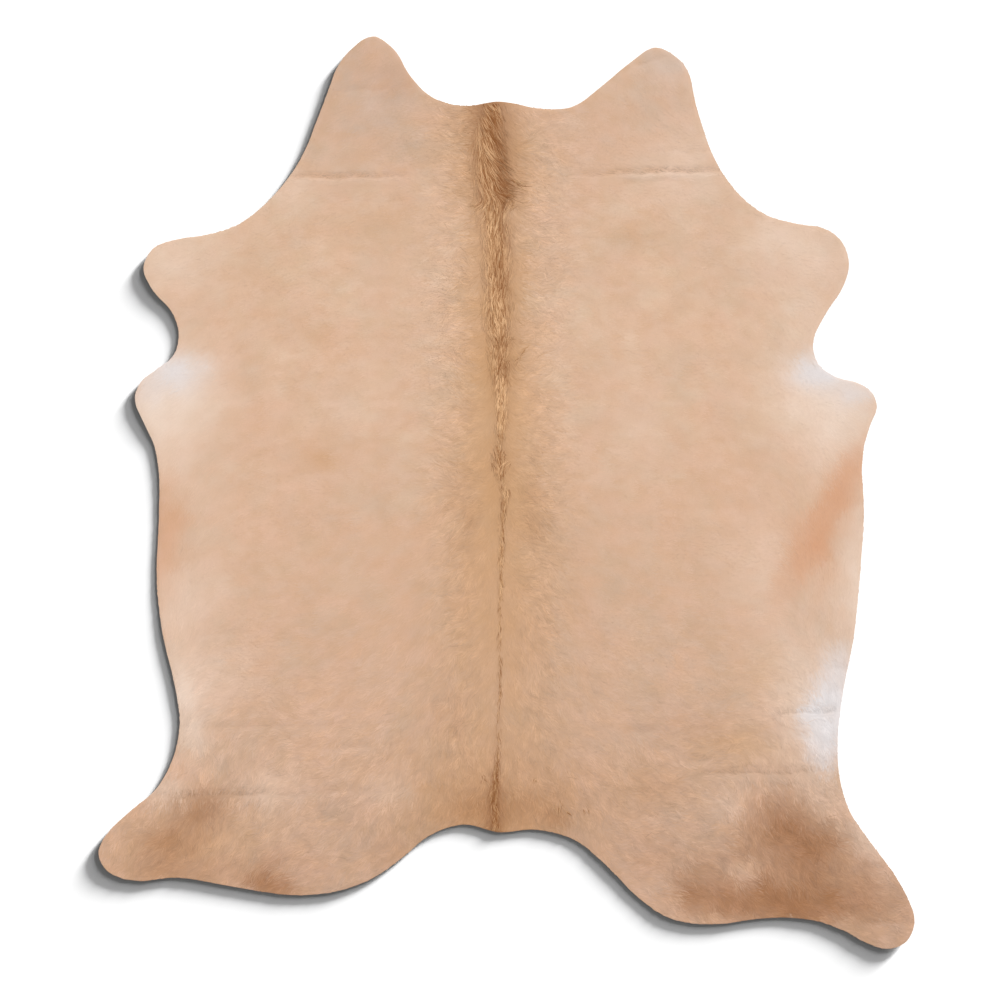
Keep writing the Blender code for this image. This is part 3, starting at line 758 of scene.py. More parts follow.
def cut_leather_material():
    """The knife-cut edge: dense grey-blue fibre from the chrome tanning, with a paler grain line."""
    material, tree, shader = new_material("cut_chrome_leather", 0.85, 0.2)
    place = add_node(tree, "ShaderNodeNewGeometry")
    fibre = add_node(tree, "ShaderNodeTexNoise", {
        "Vector": place.outputs["Position"], "Scale": 1 / 0.0015, "Detail": 3, "Roughness": 0.6,
    })
    shade = add_node(tree, "ShaderNodeValToRGB", {"Fac": fibre.outputs["Fac"]})
    shade.color_ramp.elements[0].position = 0.35
    shade.color_ramp.elements[0].color = (*linear("#8B8A86"), 1)
    shade.color_ramp.elements[1].position = 0.65
    shade.color_ramp.elements[1].color = (*linear("#B9B2A6"), 1)
    bump = add_node(tree, "ShaderNodeBump", {
        "Height": fibre.outputs["Fac"], "Strength": 0.4, "Distance": 0.0004,
    })
    tree.links.new(shade.outputs["Color"], shader.inputs["Base Color"])
    tree.links.new(bump.outputs["Normal"], shader.inputs["Normal"])
    return material


def make_skin():
    """The leather as one closed sheet: underside, hair side and cut edge."""
    points, triangles = skin_net()
    count = len(points)
    rim_count = len(hide_map.rim)
    under = np.maximum(hide_map.look_up(hide_map.under, points), 0)
    over = skin_top(points)
    over[:rim_count] -= EDGE_ROUNDING
    corners = np.vstack((np.column_stack((points, over)), np.column_stack((points, under))))
    here = np.arange(rim_count)
    following = np.roll(here, -1)
    edge = np.vstack((
        np.column_stack((here, following, here + count)),
        np.column_stack((following, following + count, here + count)),
    ))
    top = triangles
    bottom = triangles[:, ::-1] + count
    faces = np.vstack((top, bottom, edge))
    slots = np.repeat((0, 1, 2), (len(top), len(bottom), len(edge)))
    floats = {name: np.tile(values, 2) for name, values in pigments_at(points).items()}
    materials = [hair_roots_material(), suede_material(), cut_leather_material()]
    piece = mesh_piece("hide_leather", corners, faces, floats, materials, slots)
    piece.data.set_sharp_from_angle(angle=math.radians(SHARP_ANGLE))
    spots = seen_from_above(corners) * SIDE_LAYOUT
    left, width, high, low = EDGE_LAYOUT
    run = left + width * here / rim_count
    strip = np.array((width / rim_count, 0.0))
    upper = np.column_stack((run, np.full(rim_count, high)))
    lower = np.column_stack((run, np.full(rim_count, low)))
    edge_uv = np.vstack((
        np.stack((upper, upper + strip, lower), axis=1),
        np.stack((upper + strip, lower + strip, lower), axis=1),
    ))
    lay_out(piece, np.vstack((spots[top] + TOP_LAYOUT_AT, spots[bottom] + UNDERSIDE_LAYOUT_AT, edge_uv)))
    return piece


hide_map = HideMap()
skin = make_skin()
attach(skin, "root")
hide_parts("cowhide")


# The coat
# Short straight summer hair, 16 to 23 mm long, growing through the skin all over and laid flat by
# wear. It is drawn as locks of some hundred hairs, because one hair is too fine to show. Each lock
# is a flat pointed blade, rooted in the skin and lying over the roots of the next ones.
LOCK_SPACING = 0.0043
LOCK_SCATTER = 0.45
LOCK_LENGTH = (0.016, 0.023)
LOCK_WIDTH = (0.0028, 0.0042)
LOCK_RIDGE = 0.00005
LOCK_RIDGE_AT = 0.3
LOCK_TIP_HEIGHT = (0.00009, 0.00018)
LOCK_SINK = 0.0002
LOCK_ROUNDNESS = 0.018
LOCK_SLANT = 0.01

# Near the cut edge the coat is shorter and thinner, and no lock reaches far over it.
SHORT_NEAR_RIM = 0.06
LENGTH_AT_RIM = 0.62
SHORTEST_SHARE = 0.15
THIN_NEAR_RIM = 0.012
LOFT_AT_RIM = 0.35
RIM_OVERHANG = 0.0008

# The hair parts in the creases and at the spine, and sways a little from the way that the table gives.
CREASE_PARTING = 0.5
FLOW_REACH = 0.085
SPINE_FLOW_REACH = 0.024
PARTING_WIDTH = 0.02
SWAY = ((0.090, 0.10), (0.030, 0.16), (0.014, 0.14))
LOCK_STRAY = 0.10
PIGMENT_DRAG = (0.003, 0.0007)

# How much the locks differ in tone: in fine and in broad streaks along the hair, one by one, from root
# to tip, and in light and dark wisps that come in clusters, lie on top and are longer and narrower.
STREAK_REACH = 0.030
STREAK_STEPS = 13
FINE_STREAKS = (0.0025, 0.0021)
BROAD_STREAKS = (0.0070, 0.011)
LOCK_CONTRAST = 0.002
ROOT_TO_TIP = 0.015
MIDDLE_REACH = 0.4
LIGHT_WISPS = (0.035, 0.022)
DARK_WISPS = (0.020, -0.025)
WISP_STRAY = 0.22
WISP_LIFT = 0.00012
WISP_LENGTH = 1.25
WISP_WIDTH = 0.6
WISP_CLUSTERS = (0.050, 0.9)

# A lock's four corners, two at its root, one on its ridge and one at its tip: how far up the lock and on
# which side of it each is, and the four triangles between them.
LOCK_REACH = np.array((0.0, 0.0, LOCK_RIDGE_AT, 1.0))
LOCK_SIDES = (1.0, -1.0, 0.0, 0.0)
LOCK_FACES = np.array(((0, 2, 3), (2, 1, 3), (0, 1, 2), (0, 3, 1)))

# The single hairs drawn on each lock: how fast their lines change from side to side, from root to tip and
# from lock to lock.
HAIR_LINES = (3, 0.6, 1)

# The coat is coarser on the rump and the haunches and beside the spine than on the shoulders and ribs. Its
# tones and its roundness grow faster than its coarseness, by a power.
COARSE_FROM = 0.60
COARSE_TO = 0.10
COARSE_FROM_SPINE = 0.09
COARSE_BAND = 0.075
REAR_COARSENESS = 2.5
SPINE_COARSENESS = 2.8
UNEVENNESS = 1.5

# The coat is joined into six pieces: on the right side or not, and the third counted from the tail.
COAT_PARTS = (
    ("coat_left_hind", False, 0), ("coat_left_side", False, 1), ("coat_left_fore", False, 2),
    ("coat_right_hind", True, 0), ("coat_right_side", True, 1), ("coat_right_fore", True, 2),
)

# Which way the hair lies. "fall" is 0 degrees straight out from the spine and 90 straight tailwards.
Flow = namedtuple("Flow", "name out along fall")
COAT_FLOWS = [Flow(*row) for row in (
    ("nape", 0, 1.68, 90),
    ("neck_side", 0.15, 1.62, 8),
    ("flap", 0.36, 1.75, 35),
    ("cheek", 0.42, 1.55, 12),
    ("withers", 0, 1.45, 90),
    ("shoulder", 0.25, 1.38, 5),
    ("foreleg", 0.72, 1.32, 15),
    ("shoulder_back", 0, 1.2, 90),
    ("upper_rib", 0.25, 1.15, 8),
    ("outer_shoulder", 0.5, 1.25, 10),
    ("armpit", 0.72, 1.12, 40),
    ("elbow", 0.82, 1, 30),
    ("back", 0, 0.95, 90),
    ("back_side", 0.1, 0.9, 10),
    ("rib", 0.3, 0.9, 6),
    ("outer_rib", 0.55, 0.9, 12),
    ("belly", 0.8, 0.8, 75),
    ("loin", 0, 0.65, 90),
    ("loin_side", 0.1, 0.65, 30),
    ("croup_front_side", 0.11, 0.5, 52),
    ("loin_out", 0.28, 0.62, 12),
    ("side", 0.55, 0.6, 8),
    ("rear_belly", 0.82, 0.58, 86),
    ("croup", 0, 0.35, 90),
    ("croup_side", 0.12, 0.35, 64),
    ("hip", 0.3, 0.35, 22),
    ("stifle", 0.55, 0.34, 8),
    ("flank", 0.77, 0.3, 60),
    ("rump", 0, 0.05, 90),
    ("rump_side", 0.15, 0.07, 84),
    ("rump_out", 0.26, 0.14, 45),
    ("thigh", 0.42, 0.1, 12),
    ("thigh_low", 0.4, -0.06, 22),
    ("outer_thigh", 0.66, 0.08, 74),
    ("breech", 0.5, -0.14, 26),
    ("hind_leg", 0.68, -0.06, 48),
    ("hock", 0.8, -0.1, 36),
    ("foot", 0.92, -0.2, 30),
)]


def coat_direction(places):
    """Which way the hair lies at each place, as a unit vector."""
    across, along = as_hide(places).T
    out = np.abs(across)
    outward = np.zeros(len(places))
    tailward = np.zeros(len(places))
    for flow in COAT_FLOWS:
        weight = np.exp(-((out - flow.out) ** 2 + (along - flow.along) ** 2) / (2 * FLOW_REACH ** 2))
        if flow.out == 0:
            weight *= np.exp(-(out / SPINE_FLOW_REACH) ** 2)
        outward += weight * math.cos(math.radians(flow.fall))
        tailward += weight * math.sin(math.radians(flow.fall))
    direction = np.column_stack((outward * np.tanh(across / PARTING_WIDTH), -tailward))
    return direction / np.linalg.norm(direction, axis=1)[:, None]


def turned(direction, angle):
    """Vectors turned counterclockwise by an angle each."""
    cosine, sine = np.cos(angle), np.sin(angle)
    x, y = direction.T
    return np.column_stack((x * cosine - y * sine, x * sine + y * cosine))


def to_the_left(direction):
    """Vectors turned counterclockwise by a right angle."""
    return np.column_stack((-direction[:, 1], direction[:, 0]))


def streaks(places, direction, cell, seed):
    """Noise drawn out along the hair, so that neighbouring locks lie in light and dark streaks."""
    side = math.ceil(NOISE_FIELD / cell) + 2
    grid = np.random.default_rng(seed).uniform(-1, 1, (side, side))
    total = sum(
        between(grid, (places[:, :2] + step * direction + NOISE_FIELD / 2) / cell)
        for step in np.linspace(-STREAK_REACH, STREAK_REACH, STREAK_STEPS)
    )
    return total / total.std()


def coarseness(places):
    """How coarse the coat is at each place, from 1."""
    across, along = as_hide(places).T
    rear = np.clip((COARSE_FROM - along) / (COARSE_FROM - COARSE_TO), 0, 1)
    beside_spine = np.exp(-((np.abs(across) - COARSE_FROM_SPINE) / COARSE_BAND) ** 2)
    return 1 + np.maximum(REAR_COARSENESS * rear, SPINE_COARSENESS * beside_spine)


def hair_tone(tree, contrast):
    """The tone of each lock, with the fine lines of its single hairs from root to tip, as an output."""
    side, reach, lock, tone = (
        add_node(tree, "ShaderNodeAttribute", attribute_name=name).outputs["Fac"]
        for name in ("side", "reach", "lock", "tone")
    )
    place = add_node(tree, "ShaderNodeCombineXYZ", {"X": side, "Y": reach, "Z": lock})
    drawn = add_node(
        tree, "ShaderNodeVectorMath", {0: place.outputs[0], 1: HAIR_LINES}, operation="MULTIPLY",
    )
    grain = add_node(tree, "ShaderNodeTexNoise", {"Vector": drawn.outputs[0], "Scale": 1, "Detail": 2})
    hairs = add_node(tree, "ShaderNodeMapRange", {
        "Value": grain.outputs["Fac"], "From Min": 0.3, "From Max": 0.7,
        "To Min": 1 - contrast, "To Max": 1 + contrast,
    })
    both = add_node(tree, "ShaderNodeMath", {0: tone, 1: hairs.outputs[0]}, operation="MULTIPLY")
    return both.outputs[0]


def coat_material():
    """Laid cattle hair: a soft satin, with some broad lines on each lock for its many single hairs."""
    material, tree, shader = new_material("laid_cattle_hair", 0.62, 0.25)
    tree.links.new(hair_colour(tree, hair_tone(tree, 0.015)), shader.inputs["Base Color"])
    shader.inputs["Sheen Weight"].default_value = 0.08
    shader.inputs["Sheen Roughness"].default_value = 0.4
    return material


def strewn_locks(draw):
    """Where each lock is rooted, how it lies, how coarse it is, and which ones are light or dark wisps."""
    roots = lattice(LOCK_SPACING)
    roots = roots + draw.uniform(-LOCK_SCATTER, LOCK_SCATTER, roots.shape) * LOCK_SPACING
    roots = roots[hide_map.look_up(hide_map.depth, roots) > EDGE_ROUNDING]
    coarse = coarseness(roots)
    sway = sum(
        amount * soft_noise(roots, size, seed) for seed, (size, amount) in enumerate(SWAY, start=71)
    )
    flow = turned(coat_direction(roots), sway * coarse)
    cluster_size, cluster_depth = WISP_CLUSTERS
    clustered = 1 + cluster_depth * soft_noise(roots, cluster_size, 85)
    chance = draw.uniform(0, 1, len(roots)) / (np.sqrt(coarse) * clustered)
    light = chance < LIGHT_WISPS[0]
    dark = ~light & (chance < LIGHT_WISPS[0] + DARK_WISPS[0])
    stray = np.where(light | dark, WISP_STRAY, LOCK_STRAY) * np.sqrt(coarse)
    direction = turned(flow, draw.normal(0, 1, len(roots)) * stray)
    length = draw.uniform(*LOCK_LENGTH, len(roots)) * np.where(light | dark, WISP_LENGTH, 1)
    return {
        "root": roots, "flow": flow, "direction": direction, "length": trimmed(roots, direction, length),
        "coarse": coarse, "light": light, "dark": dark,
    }


def trimmed(roots, direction, length):
    """The locks' lengths, cut back near the edge, across the creases and where they would hang over."""
    depth = hide_map.look_up(hide_map.depth, roots)
    length = length * (LENGTH_AT_RIM + (1 - LENGTH_AT_RIM) * np.clip(depth / SHORT_NEAR_RIM, 0, 1))
    in_crease = np.maximum(crease_at(roots)[0], crease_at(roots + direction * length[:, None])[0])
    length = length * (1 - CREASE_PARTING * np.clip(in_crease, 0, 1))
    tip_depth = hide_map.look_up(hide_map.depth, roots + direction * length[:, None])
    over = tip_depth < -RIM_OVERHANG
    share = np.where(over, (depth + RIM_OVERHANG) / np.maximum(depth - tip_depth, SAME_POINT), 1)
    return length * np.clip(share, SHORTEST_SHARE, 1)


def lock_shapes(draw, locks):
    """The corners of each lock and their normals."""
    roots, direction, length, coarse = (locks[name] for name in ("root", "direction", "length", "coarse"))
    wisp = locks["light"] | locks["dark"]
    count = len(roots)
    ridge = roots + direction * (LOCK_RIDGE_AT * length)[:, None]
    tip = roots + direction * length[:, None]
    width = draw.uniform(*LOCK_WIDTH, count) * np.where(wisp, WISP_WIDTH, 1)
    left = to_the_left(direction)
    side = left * (width / 2)[:, None]
    depth = hide_map.look_up(hide_map.depth, roots)
    loft = coarse * (LOFT_AT_RIM + (1 - LOFT_AT_RIM) * np.clip(depth / THIN_NEAR_RIM, 0, 1))
    root_height = skin_top(roots) - LOCK_SINK
    tip_height = skin_top(tip) + (draw.uniform(*LOCK_TIP_HEIGHT, count) + WISP_LIFT * wisp) * loft
    ridge_height = (1 - LOCK_RIDGE_AT) * root_height + LOCK_RIDGE_AT * tip_height
    ridge_height += (LOCK_RIDGE + WISP_LIFT * wisp) * loft
    corners = np.stack((
        np.column_stack((roots + side, root_height)),
        np.column_stack((roots - side, root_height)),
        np.column_stack((ridge, ridge_height)),
        np.column_stack((tip, tip_height)),
    ), axis=1)
    up = np.ones((count, 1))
    rounding = LOCK_ROUNDNESS * (coarse ** UNEVENNESS)[:, None] * left
    slant = LOCK_SLANT * direction
    normals = np.stack([
        np.column_stack((lean, up)) for lean in (rounding - slant, -rounding - slant, -slant, slant)
    ], axis=1)
    return corners, normals


def lock_tones(draw, locks):
    """How light each corner of each lock is: in streaks, in wisps and one by one, with painted shade in the
    creases' troughs and painted light on their crests.
    """
    roots, coarse = locks["root"], locks["coarse"]
    fine, broad = (
        contrast * streaks(roots, locks["flow"] / coarse[:, None], cell, seed)
        for seed, (cell, contrast) in enumerate((FINE_STREAKS, BROAD_STREAKS), start=81)
    )
    own = draw.normal(0, LOCK_CONTRAST, len(roots))
    wisps = LIGHT_WISPS[1] * locks["light"] + DARK_WISPS[1] * locks["dark"]
    by_corner = (fine + own)[:, None] + ROOT_TO_TIP * (LOCK_REACH - MIDDLE_REACH)
    tone = 1 + (coarse ** UNEVENNESS)[:, None] * by_corner
    tone += (coarse * (broad + wisps))[:, None]
    # Painted shade in the creases' troughs and painted light on their crests.
    for corner, reach in enumerate(LOCK_REACH):
        trough, crest = crease_at(roots + locks["direction"] * (reach * locks["length"])[:, None])
        tone[:, corner] *= 1 - CREASE_PAINTED_SHADE * trough + CREST_PAINTED_LIGHT * crest
    return tone


def hair_piece(name, material, corners, normals, faces, sides, reach, tone, lock, pigments):
    """Many like hairs joined in one object. The faces, sides and reach are those of one hair."""
    count, per_hair = corners.shape[:2]
    floats = {key: np.repeat(values, per_hair) for key, values in pigments.items()}
    floats["tone"] = tone.ravel()
    floats["reach"] = np.tile(reach, count)
    floats["side"] = np.tile(sides, count)
    floats["lock"] = np.repeat(lock, per_hair)
    places = corners.reshape(-1, 3)
    normals = (normals / np.linalg.norm(normals, axis=2)[..., None]).reshape(-1, 3)
    triangles = (np.arange(count)[:, None, None] * per_hair + faces[None]).reshape(-1, 3)
    piece = mesh_piece(name, places, triangles, floats, [material], normals=normals)
    lay_out(piece, seen_from_above(places)[triangles])
    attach(piece, "root")
    return piece


def make_coat():
    """All the locks, in six joined pieces, three on each side of the spine."""
    draw = np.random.default_rng(7)
    locks = strewn_locks(draw)
    roots, direction = locks["root"], locks["direction"]
    corners, normals = lock_shapes(draw, locks)
    tone = lock_tones(draw, locks)
    drag = draw.normal(0, 1, (2, len(roots), 1)) * np.array(PIGMENT_DRAG)[:, None, None]
    drag *= locks["coarse"][:, None]
    pigments = pigments_at(roots + drag[0] * direction + drag[1] * to_the_left(direction))
    lock = draw.uniform(0, 100, len(roots))
    material = coat_material()
    on_right = as_hide(roots)[:, 0] >= 0
    third = np.searchsorted(np.quantile(roots[:, 1], (1 / 3, 2 / 3)), roots[:, 1])
    pieces = []
    for name, right, part in COAT_PARTS:
        here = (on_right == right) & (third == part)
        pieces.append(hair_piece(
            name, material, corners[here], normals[here], LOCK_FACES, LOCK_SIDES, LOCK_REACH,
            tone[here], lock[here], {key: values[here] for key, values in pigments.items()},
        ))
    return pieces


coat = make_coat()


# The hair down the spine
# Longer, coarser and darker hair, 15 to 40 mm, that runs from the nape to the tail and lies over the
# coat. It grows in the same skin, hangs together in curved strands, and changes direction at whorls.

# "lean" is the way a strand lies, in degrees from straight tailwards towards the right, at the band's
# left side, middle and right side. "core" is where the dark middle runs, and "dark" how dark it is.
Station = namedtuple(
    "Station", "name along left right lean_left lean_middle lean_right length lift core dark brown density"
)
SPINE_HAIR = [Station(*row) for row in (
    ("nape", 1.702, -0.048, 0.012, 30, 36, 20, 0.026, 0.0018, -0.012, 0.35, 0.25, 0.8),
    ("nape_dark", 1.66, -0.056, 0.01, 5, 34, 12, 0.032, 0.0026, -0.016, 0.8, 0.35, 0.9),
    ("nape_parting", 1.625, -0.062, 0.008, -28, 26, 28, 0.034, 0.0028, -0.013, 0.6, 0.35, 0.9),
    ("neck", 1.59, -0.066, 0.008, -20, 30, 34, 0.036, 0.0028, -0.009, 0.65, 0.35, 0.9),
    ("neck_rear", 1.555, -0.066, 0.012, -8, 28, 48, 0.036, 0.0028, -0.006, 0.75, 0.35, 0.9),
    ("crest", 1.52, -0.064, 0.018, -2, 22, 62, 0.034, 0.003, -0.002, 0.8, 0.35, 0.9),
    ("withers", 1.485, -0.058, 0.026, 5, 16, 74, 0.028, 0.0032, 0.001, 0.85, 0.35, 1),
    ("withers_break", 1.462, -0.058, 0.034, -58, 0, -48, 0.022, 0.0034, 0.004, 0.4, 0.15, 0.9),
    ("behind_break", 1.44, -0.046, 0.028, -30, 0, -30, 0.026, 0.0028, 0.002, 0.2, 0.05, 0.9),
    ("shoulders", 1.4, -0.046, 0.03, 10, 0, 4, 0.03, 0.0026, -0.002, 0.35, 0.05, 0.9),
    ("shoulder_gather", 1.33, -0.048, 0.036, 14, 0, -12, 0.03, 0.0026, -0.002, 0.65, 0.1, 0.9),
    ("gather_end", 1.28, -0.044, 0.034, 18, 0, -26, 0.026, 0.0026, 0.006, 0.85, 0.1, 0.9),
    ("shoulder_rear", 1.25, -0.042, 0.034, -4, 5, 2, 0.028, 0.0024, 0.002, 0.05, 0.03, 0.9),
    ("above_whorl", 1.185, -0.042, 0.034, 10, 8, -15, 0.024, 0.0024, 0, 0.1, 0.05, 0.9),
    ("shoulder_whorl", 1.162, -0.034, 0.038, 50, 0, -60, 0.018, 0.0028, 0.002, 0.7, 0.15, 0.8),
    ("below_whorl", 1.142, -0.036, 0.032, 15, 0, -25, 0.026, 0.0026, 0.002, 0.1, 0.05, 0.7),
    ("back_tuft", 1.092, -0.026, 0.03, 12, 0, -35, 0.022, 0.003, 0.009, 0.85, 0.1, 0.7),
    ("back", 1.06, -0.014, 0.026, 0, 0, 2, 0.024, 0.002, 0.006, -0.1, 0, 0.7),
    ("back_rear", 0.96, -0.012, 0.024, 5, 0, -3, 0.022, 0.0018, 0.002, -0.15, 0, 0.65),
    ("above_loin_whorl", 0.915, -0.012, 0.012, 12, 8, 0, 0.02, 0.0016, -0.004, -0.15, 0, 0.35),
    ("loin_whorl", 0.885, -0.022, 0.02, 20, 0, -20, 0.018, 0.0024, 0, 0.65, 0.05, 0.8),
    ("loin_point", 0.85, -0.016, 0.026, 28, 10, -28, 0.02, 0.0022, 0.004, 0.3, 0.05, 0.7),
    ("loin_gap", 0.82, -0.004, 0.018, 20, 10, -20, 0.016, 0.0016, 0.008, -0.1, 0, 0.1),
    ("loin", 0.8, 0, 0.028, 25, 15, 0, 0.024, 0.0022, 0.012, 0.05, 0, 0.6),
    ("loin_end", 0.755, 0, 0.022, 8, 0, -25, 0.022, 0.002, 0.01, 0.05, 0, 0.5),
    ("loin_line", 0.735, -0.004, 0.02, 5, 0, -5, 0.02, 0.0016, 0.006, 0, 0, 0.45),
    ("loin_rear", 0.67, -0.005, 0.016, -5, 0, 5, 0.02, 0.0014, 0.006, 0, 0, 0.5),
    ("croup", 0.54, -0.003, 0.009, -5, 0, 5, 0.018, 0.0012, 0.003, 0.05, 0, 0.35),
    ("rump", 0.308, -0.004, 0.006, -5, 2, 5, 0.02, 0.0012, 0, 0.45, 0, 0.2),
    ("rump_rear", 0.2, -0.008, 0.004, -5, 2, 5, 0.02, 0.0014, -0.003, 0.45, 0.05, 0.25),
    ("tail_tuft", 0.16, -0.014, 0.006, 5, 5, 5, 0.02, 0.0018, -0.004, 0.65, 0.15, 0.5),
    ("tail_hair", 0.095, -0.026, 0.002, 2, 8, 12, 0.024, 0.002, -0.012, 0.5, 0.18, 0.9),
    ("tail_root", 0.006, -0.02, 0.004, 5, 10, 10, 0.02, 0.0014, -0.008, 0.5, 0.18, 0.9),
)]

# Small bunches that lie their own way: at the whorls, beside the back line and on the rump.
Tuft = namedtuple("Tuft", "name across along lean fan spread length count dark")
TUFTS = [Tuft(*row) for row in (
    ("withers_left_curl", -0.046, 1.462, -58, 14, 0.008, 0.022, 16, 0.4),
    ("withers_right_curl", 0.032, 1.472, -46, 14, 0.009, 0.026, 22, 0.4),
    ("withers_right_wisp", 0.034, 1.52, 74, 10, 0.014, 0.03, 16, 0.15),
    ("whorl_left_arm", -0.018, 1.172, 45, 12, 0.006, 0.02, 14, 0.3),
    ("whorl_right_arm", 0.006, 1.152, 97, 8, 0.003, 0.03, 12, 0.2),
    ("back_right_arm", 0.062, 1.13, -50, 16, 0.007, 0.018, 7, 0),
    ("back_right_elbow", 0.044, 1.11, -44, 16, 0.007, 0.018, 9, 0.15),
    ("back_tuft", 0.009, 1.094, 0, 26, 0.01, 0.02, 34, 1),
    ("loin_whorl", 0, 0.884, 5, 22, 0.007, 0.018, 20, 0.85),
    ("loin_point_left", -0.014, 0.864, 30, 8, 0.005, 0.026, 10, 0.15),
    ("loin_point_right", 0.024, 0.864, -28, 8, 0.005, 0.026, 10, 0.1),
    ("left_tail_mark", -0.036, 0.124, 40, 20, 0.008, 0.014, 5, 0.45),
    ("right_tail_mark", 0.084, 0.122, -20, 20, 0.005, 0.012, 4, 0.3),
    ("right_rump_tuft", 0.136, 0.062, 0, 12, 0.009, 0.022, 9, 0.45),
    ("right_rump_spot", 0.158, 0.046, 60, 14, 0.004, 0.012, 4, 0.45),
    ("right_rump_far", 0.204, 0.052, 25, 10, 0.004, 0.016, 4, 0.3),
)]

# How the strands are strewn. Most lie near the middle of the band, and where it is narrow they are finer.
# Their lengths lie between two shares of what the tables say.
STRAND_TRIES = 27000
FULL_BAND = 0.13
BAND_SPREAD = 0.52
NARROW_BAND = 0.035
FINEST_STRAND = 0.75
STRAND_WIDTH = (0.0010, 0.0019)
STRAND_LENGTHS = (0.7, 1.15)
TUFT_SPREAD = 0.6
TUFT_LENGTHS = (0.6, 1.15)
TUFT_LIFT = 0.0026
TUFT_WIDTH = 0.7

# Near the tail no strand reaches far over the cut edge.
TAIL_FROM = 0.1
LEAST_TO_RIM = 0.004
STRAND_OVERHANG = 0.002

# The shape of a strand. It strays from the flow, alone and together with its neighbours, and bends. It is
# widest a quarter of the way up, its tip lies higher than its root, and its middle is arched.
STRAND_SEGMENTS = 4
STRAND_SHARES = np.arange(STRAND_SEGMENTS + 1) / STRAND_SEGMENTS
STRAND_STRAY = 0.11
STRAND_CLUMP = 0.016
CLUMP_TURN = 0.30
STRAND_BEND = 0.28
STRAIGHT_AT = 0.3
TAPER = 0.6
ROOT_WIDTH = 0.6
SWELLING = 0.6
WIDEST_AT = 0.25
STRAND_THICKNESS = 0.4
STRAND_ROUNDNESS = 0.30
STRAND_CLEARANCE = 0.0004
STRAND_LIFT = 0.45
STRAND_ARCH = 0.45
TIP_RISE = 0.75

# The colour of a strand. Light and dark strands lie in streaks and among each other, the light ones on top.
# The dark core and the dark strands are chestnut, and the light strands golden. The dark strands' chestnut
# is partly their own colour and partly painted shade between the light strands that lie over them.
STRAND_STREAKS = 0.0018
STREAK_SHADE = 0.38
STRAND_SHADE = 0.95
LIGHT_ON_TOP = 0.25
OWN_COLOUR_REACH = 0.80
CORE_WIDTH = 0.013
DARK_BELOW = 0.1
DARKEST = 1.4
LIGHT_ABOVE = 0.25
LIGHTEST = 1.2
STRAND_TAN = 0.95
CHESTNUT_BENEATH = 0.8
CHESTNUT_CORE = 0.66
CHESTNUT_STRAND = 0.55
GOLD_STRAND = 0.90
GOLD_LOST_IN_CORE = 0.75
GOLD_LOST_IN_BROWN = 0.9
OWN_TONE = 0.03
ROOT_TONE = 0.94
TONE_TO_TIP = 0.12


def leaning(lean):
    """The unit vector of each lean, which is given in radians."""
    return np.column_stack((np.sin(lean), -np.cos(lean)))


def spine_direction(places):
    """Which way a strand of the spine's hair lies at each place."""
    across, along = as_hide(places).T
    values = along_the_spine(SPINE_HAIR, along)
    middle = (values["left"] + values["right"]) / 2
    spread = np.clip((across - middle) / ((values["right"] - values["left"]) / 2), -1, 1)
    side_lean = np.where(spread < 0, values["lean_left"], values["lean_right"])
    return leaning(np.radians(values["lean_middle"] + np.abs(spread) * (side_lean - values["lean_middle"])))


def band_strands(draw):
    """What each strand of the band starts from. Those at the band's sides take the coat's own colour."""
    along = draw.uniform(SPINE_HAIR[-1].along, SPINE_HAIR[0].along, STRAND_TRIES)
    tried = along_the_spine(SPINE_HAIR, along)
    share_kept = tried["density"] * (tried["right"] - tried["left"]) / FULL_BAND
    along = along[draw.uniform(0, 1, STRAND_TRIES) < share_kept]
    values = along_the_spine(SPINE_HAIR, along)
    count = len(along)
    band = values["right"] - values["left"]
    spread = draw.normal(0, BAND_SPREAD, count)
    spread = np.where(np.abs(spread) > 1, draw.uniform(-1, 1, count), spread)
    across = (values["left"] + values["right"]) / 2 + spread * band / 2
    return {
        "root": as_world(np.column_stack((across, along))),
        "lean": np.full(count, np.nan),
        "length": values["length"] * draw.uniform(*STRAND_LENGTHS, count),
        "lift": values["lift"],
        "breadth": draw.uniform(*STRAND_WIDTH, count) * np.clip(band / NARROW_BAND, FINEST_STRAND, 1),
        "own_colour": np.exp(-(spread / OWN_COLOUR_REACH) ** 4),
        "dark": values["dark"] * np.exp(-((across - values["core"]) / CORE_WIDTH) ** 2),
        "brown": values["brown"],
    }


def tuft_strands(draw):
    """What each strand of the small bunches starts from. They lean their own way."""
    rows = np.repeat(np.arange(len(TUFTS)), [tuft.count for tuft in TUFTS])
    count = len(rows)
    across, along, lean, fan, spread, length, dark = (
        np.array([getattr(tuft, column) for tuft in TUFTS])[rows]
        for column in ("across", "along", "lean", "fan", "spread", "length", "dark")
    )
    scatter = draw.normal(0, TUFT_SPREAD, (count, 2)) * spread[:, None]
    return {
        "root": as_world(np.column_stack((across, along)) + scatter),
        "lean": np.radians(lean + fan * draw.normal(0, 1, count)),
        "length": length * draw.uniform(*TUFT_LENGTHS, count),
        "lift": np.full(count, TUFT_LIFT),
        "breadth": draw.uniform(*STRAND_WIDTH, count) * TUFT_WIDTH,
        "own_colour": np.ones(count),
        "dark": dark,
        "brown": np.zeros(count),
    }


def spine_hair_material():
    """Long guard hair: a stronger satin than the coat's, in golden and dark strands."""
    material, tree, shader = new_material("long_spine_hair", 0.60, 0.12)
    tree.links.new(hair_colour(tree, hair_tone(tree, 0.05)), shader.inputs["Base Color"])
    return material


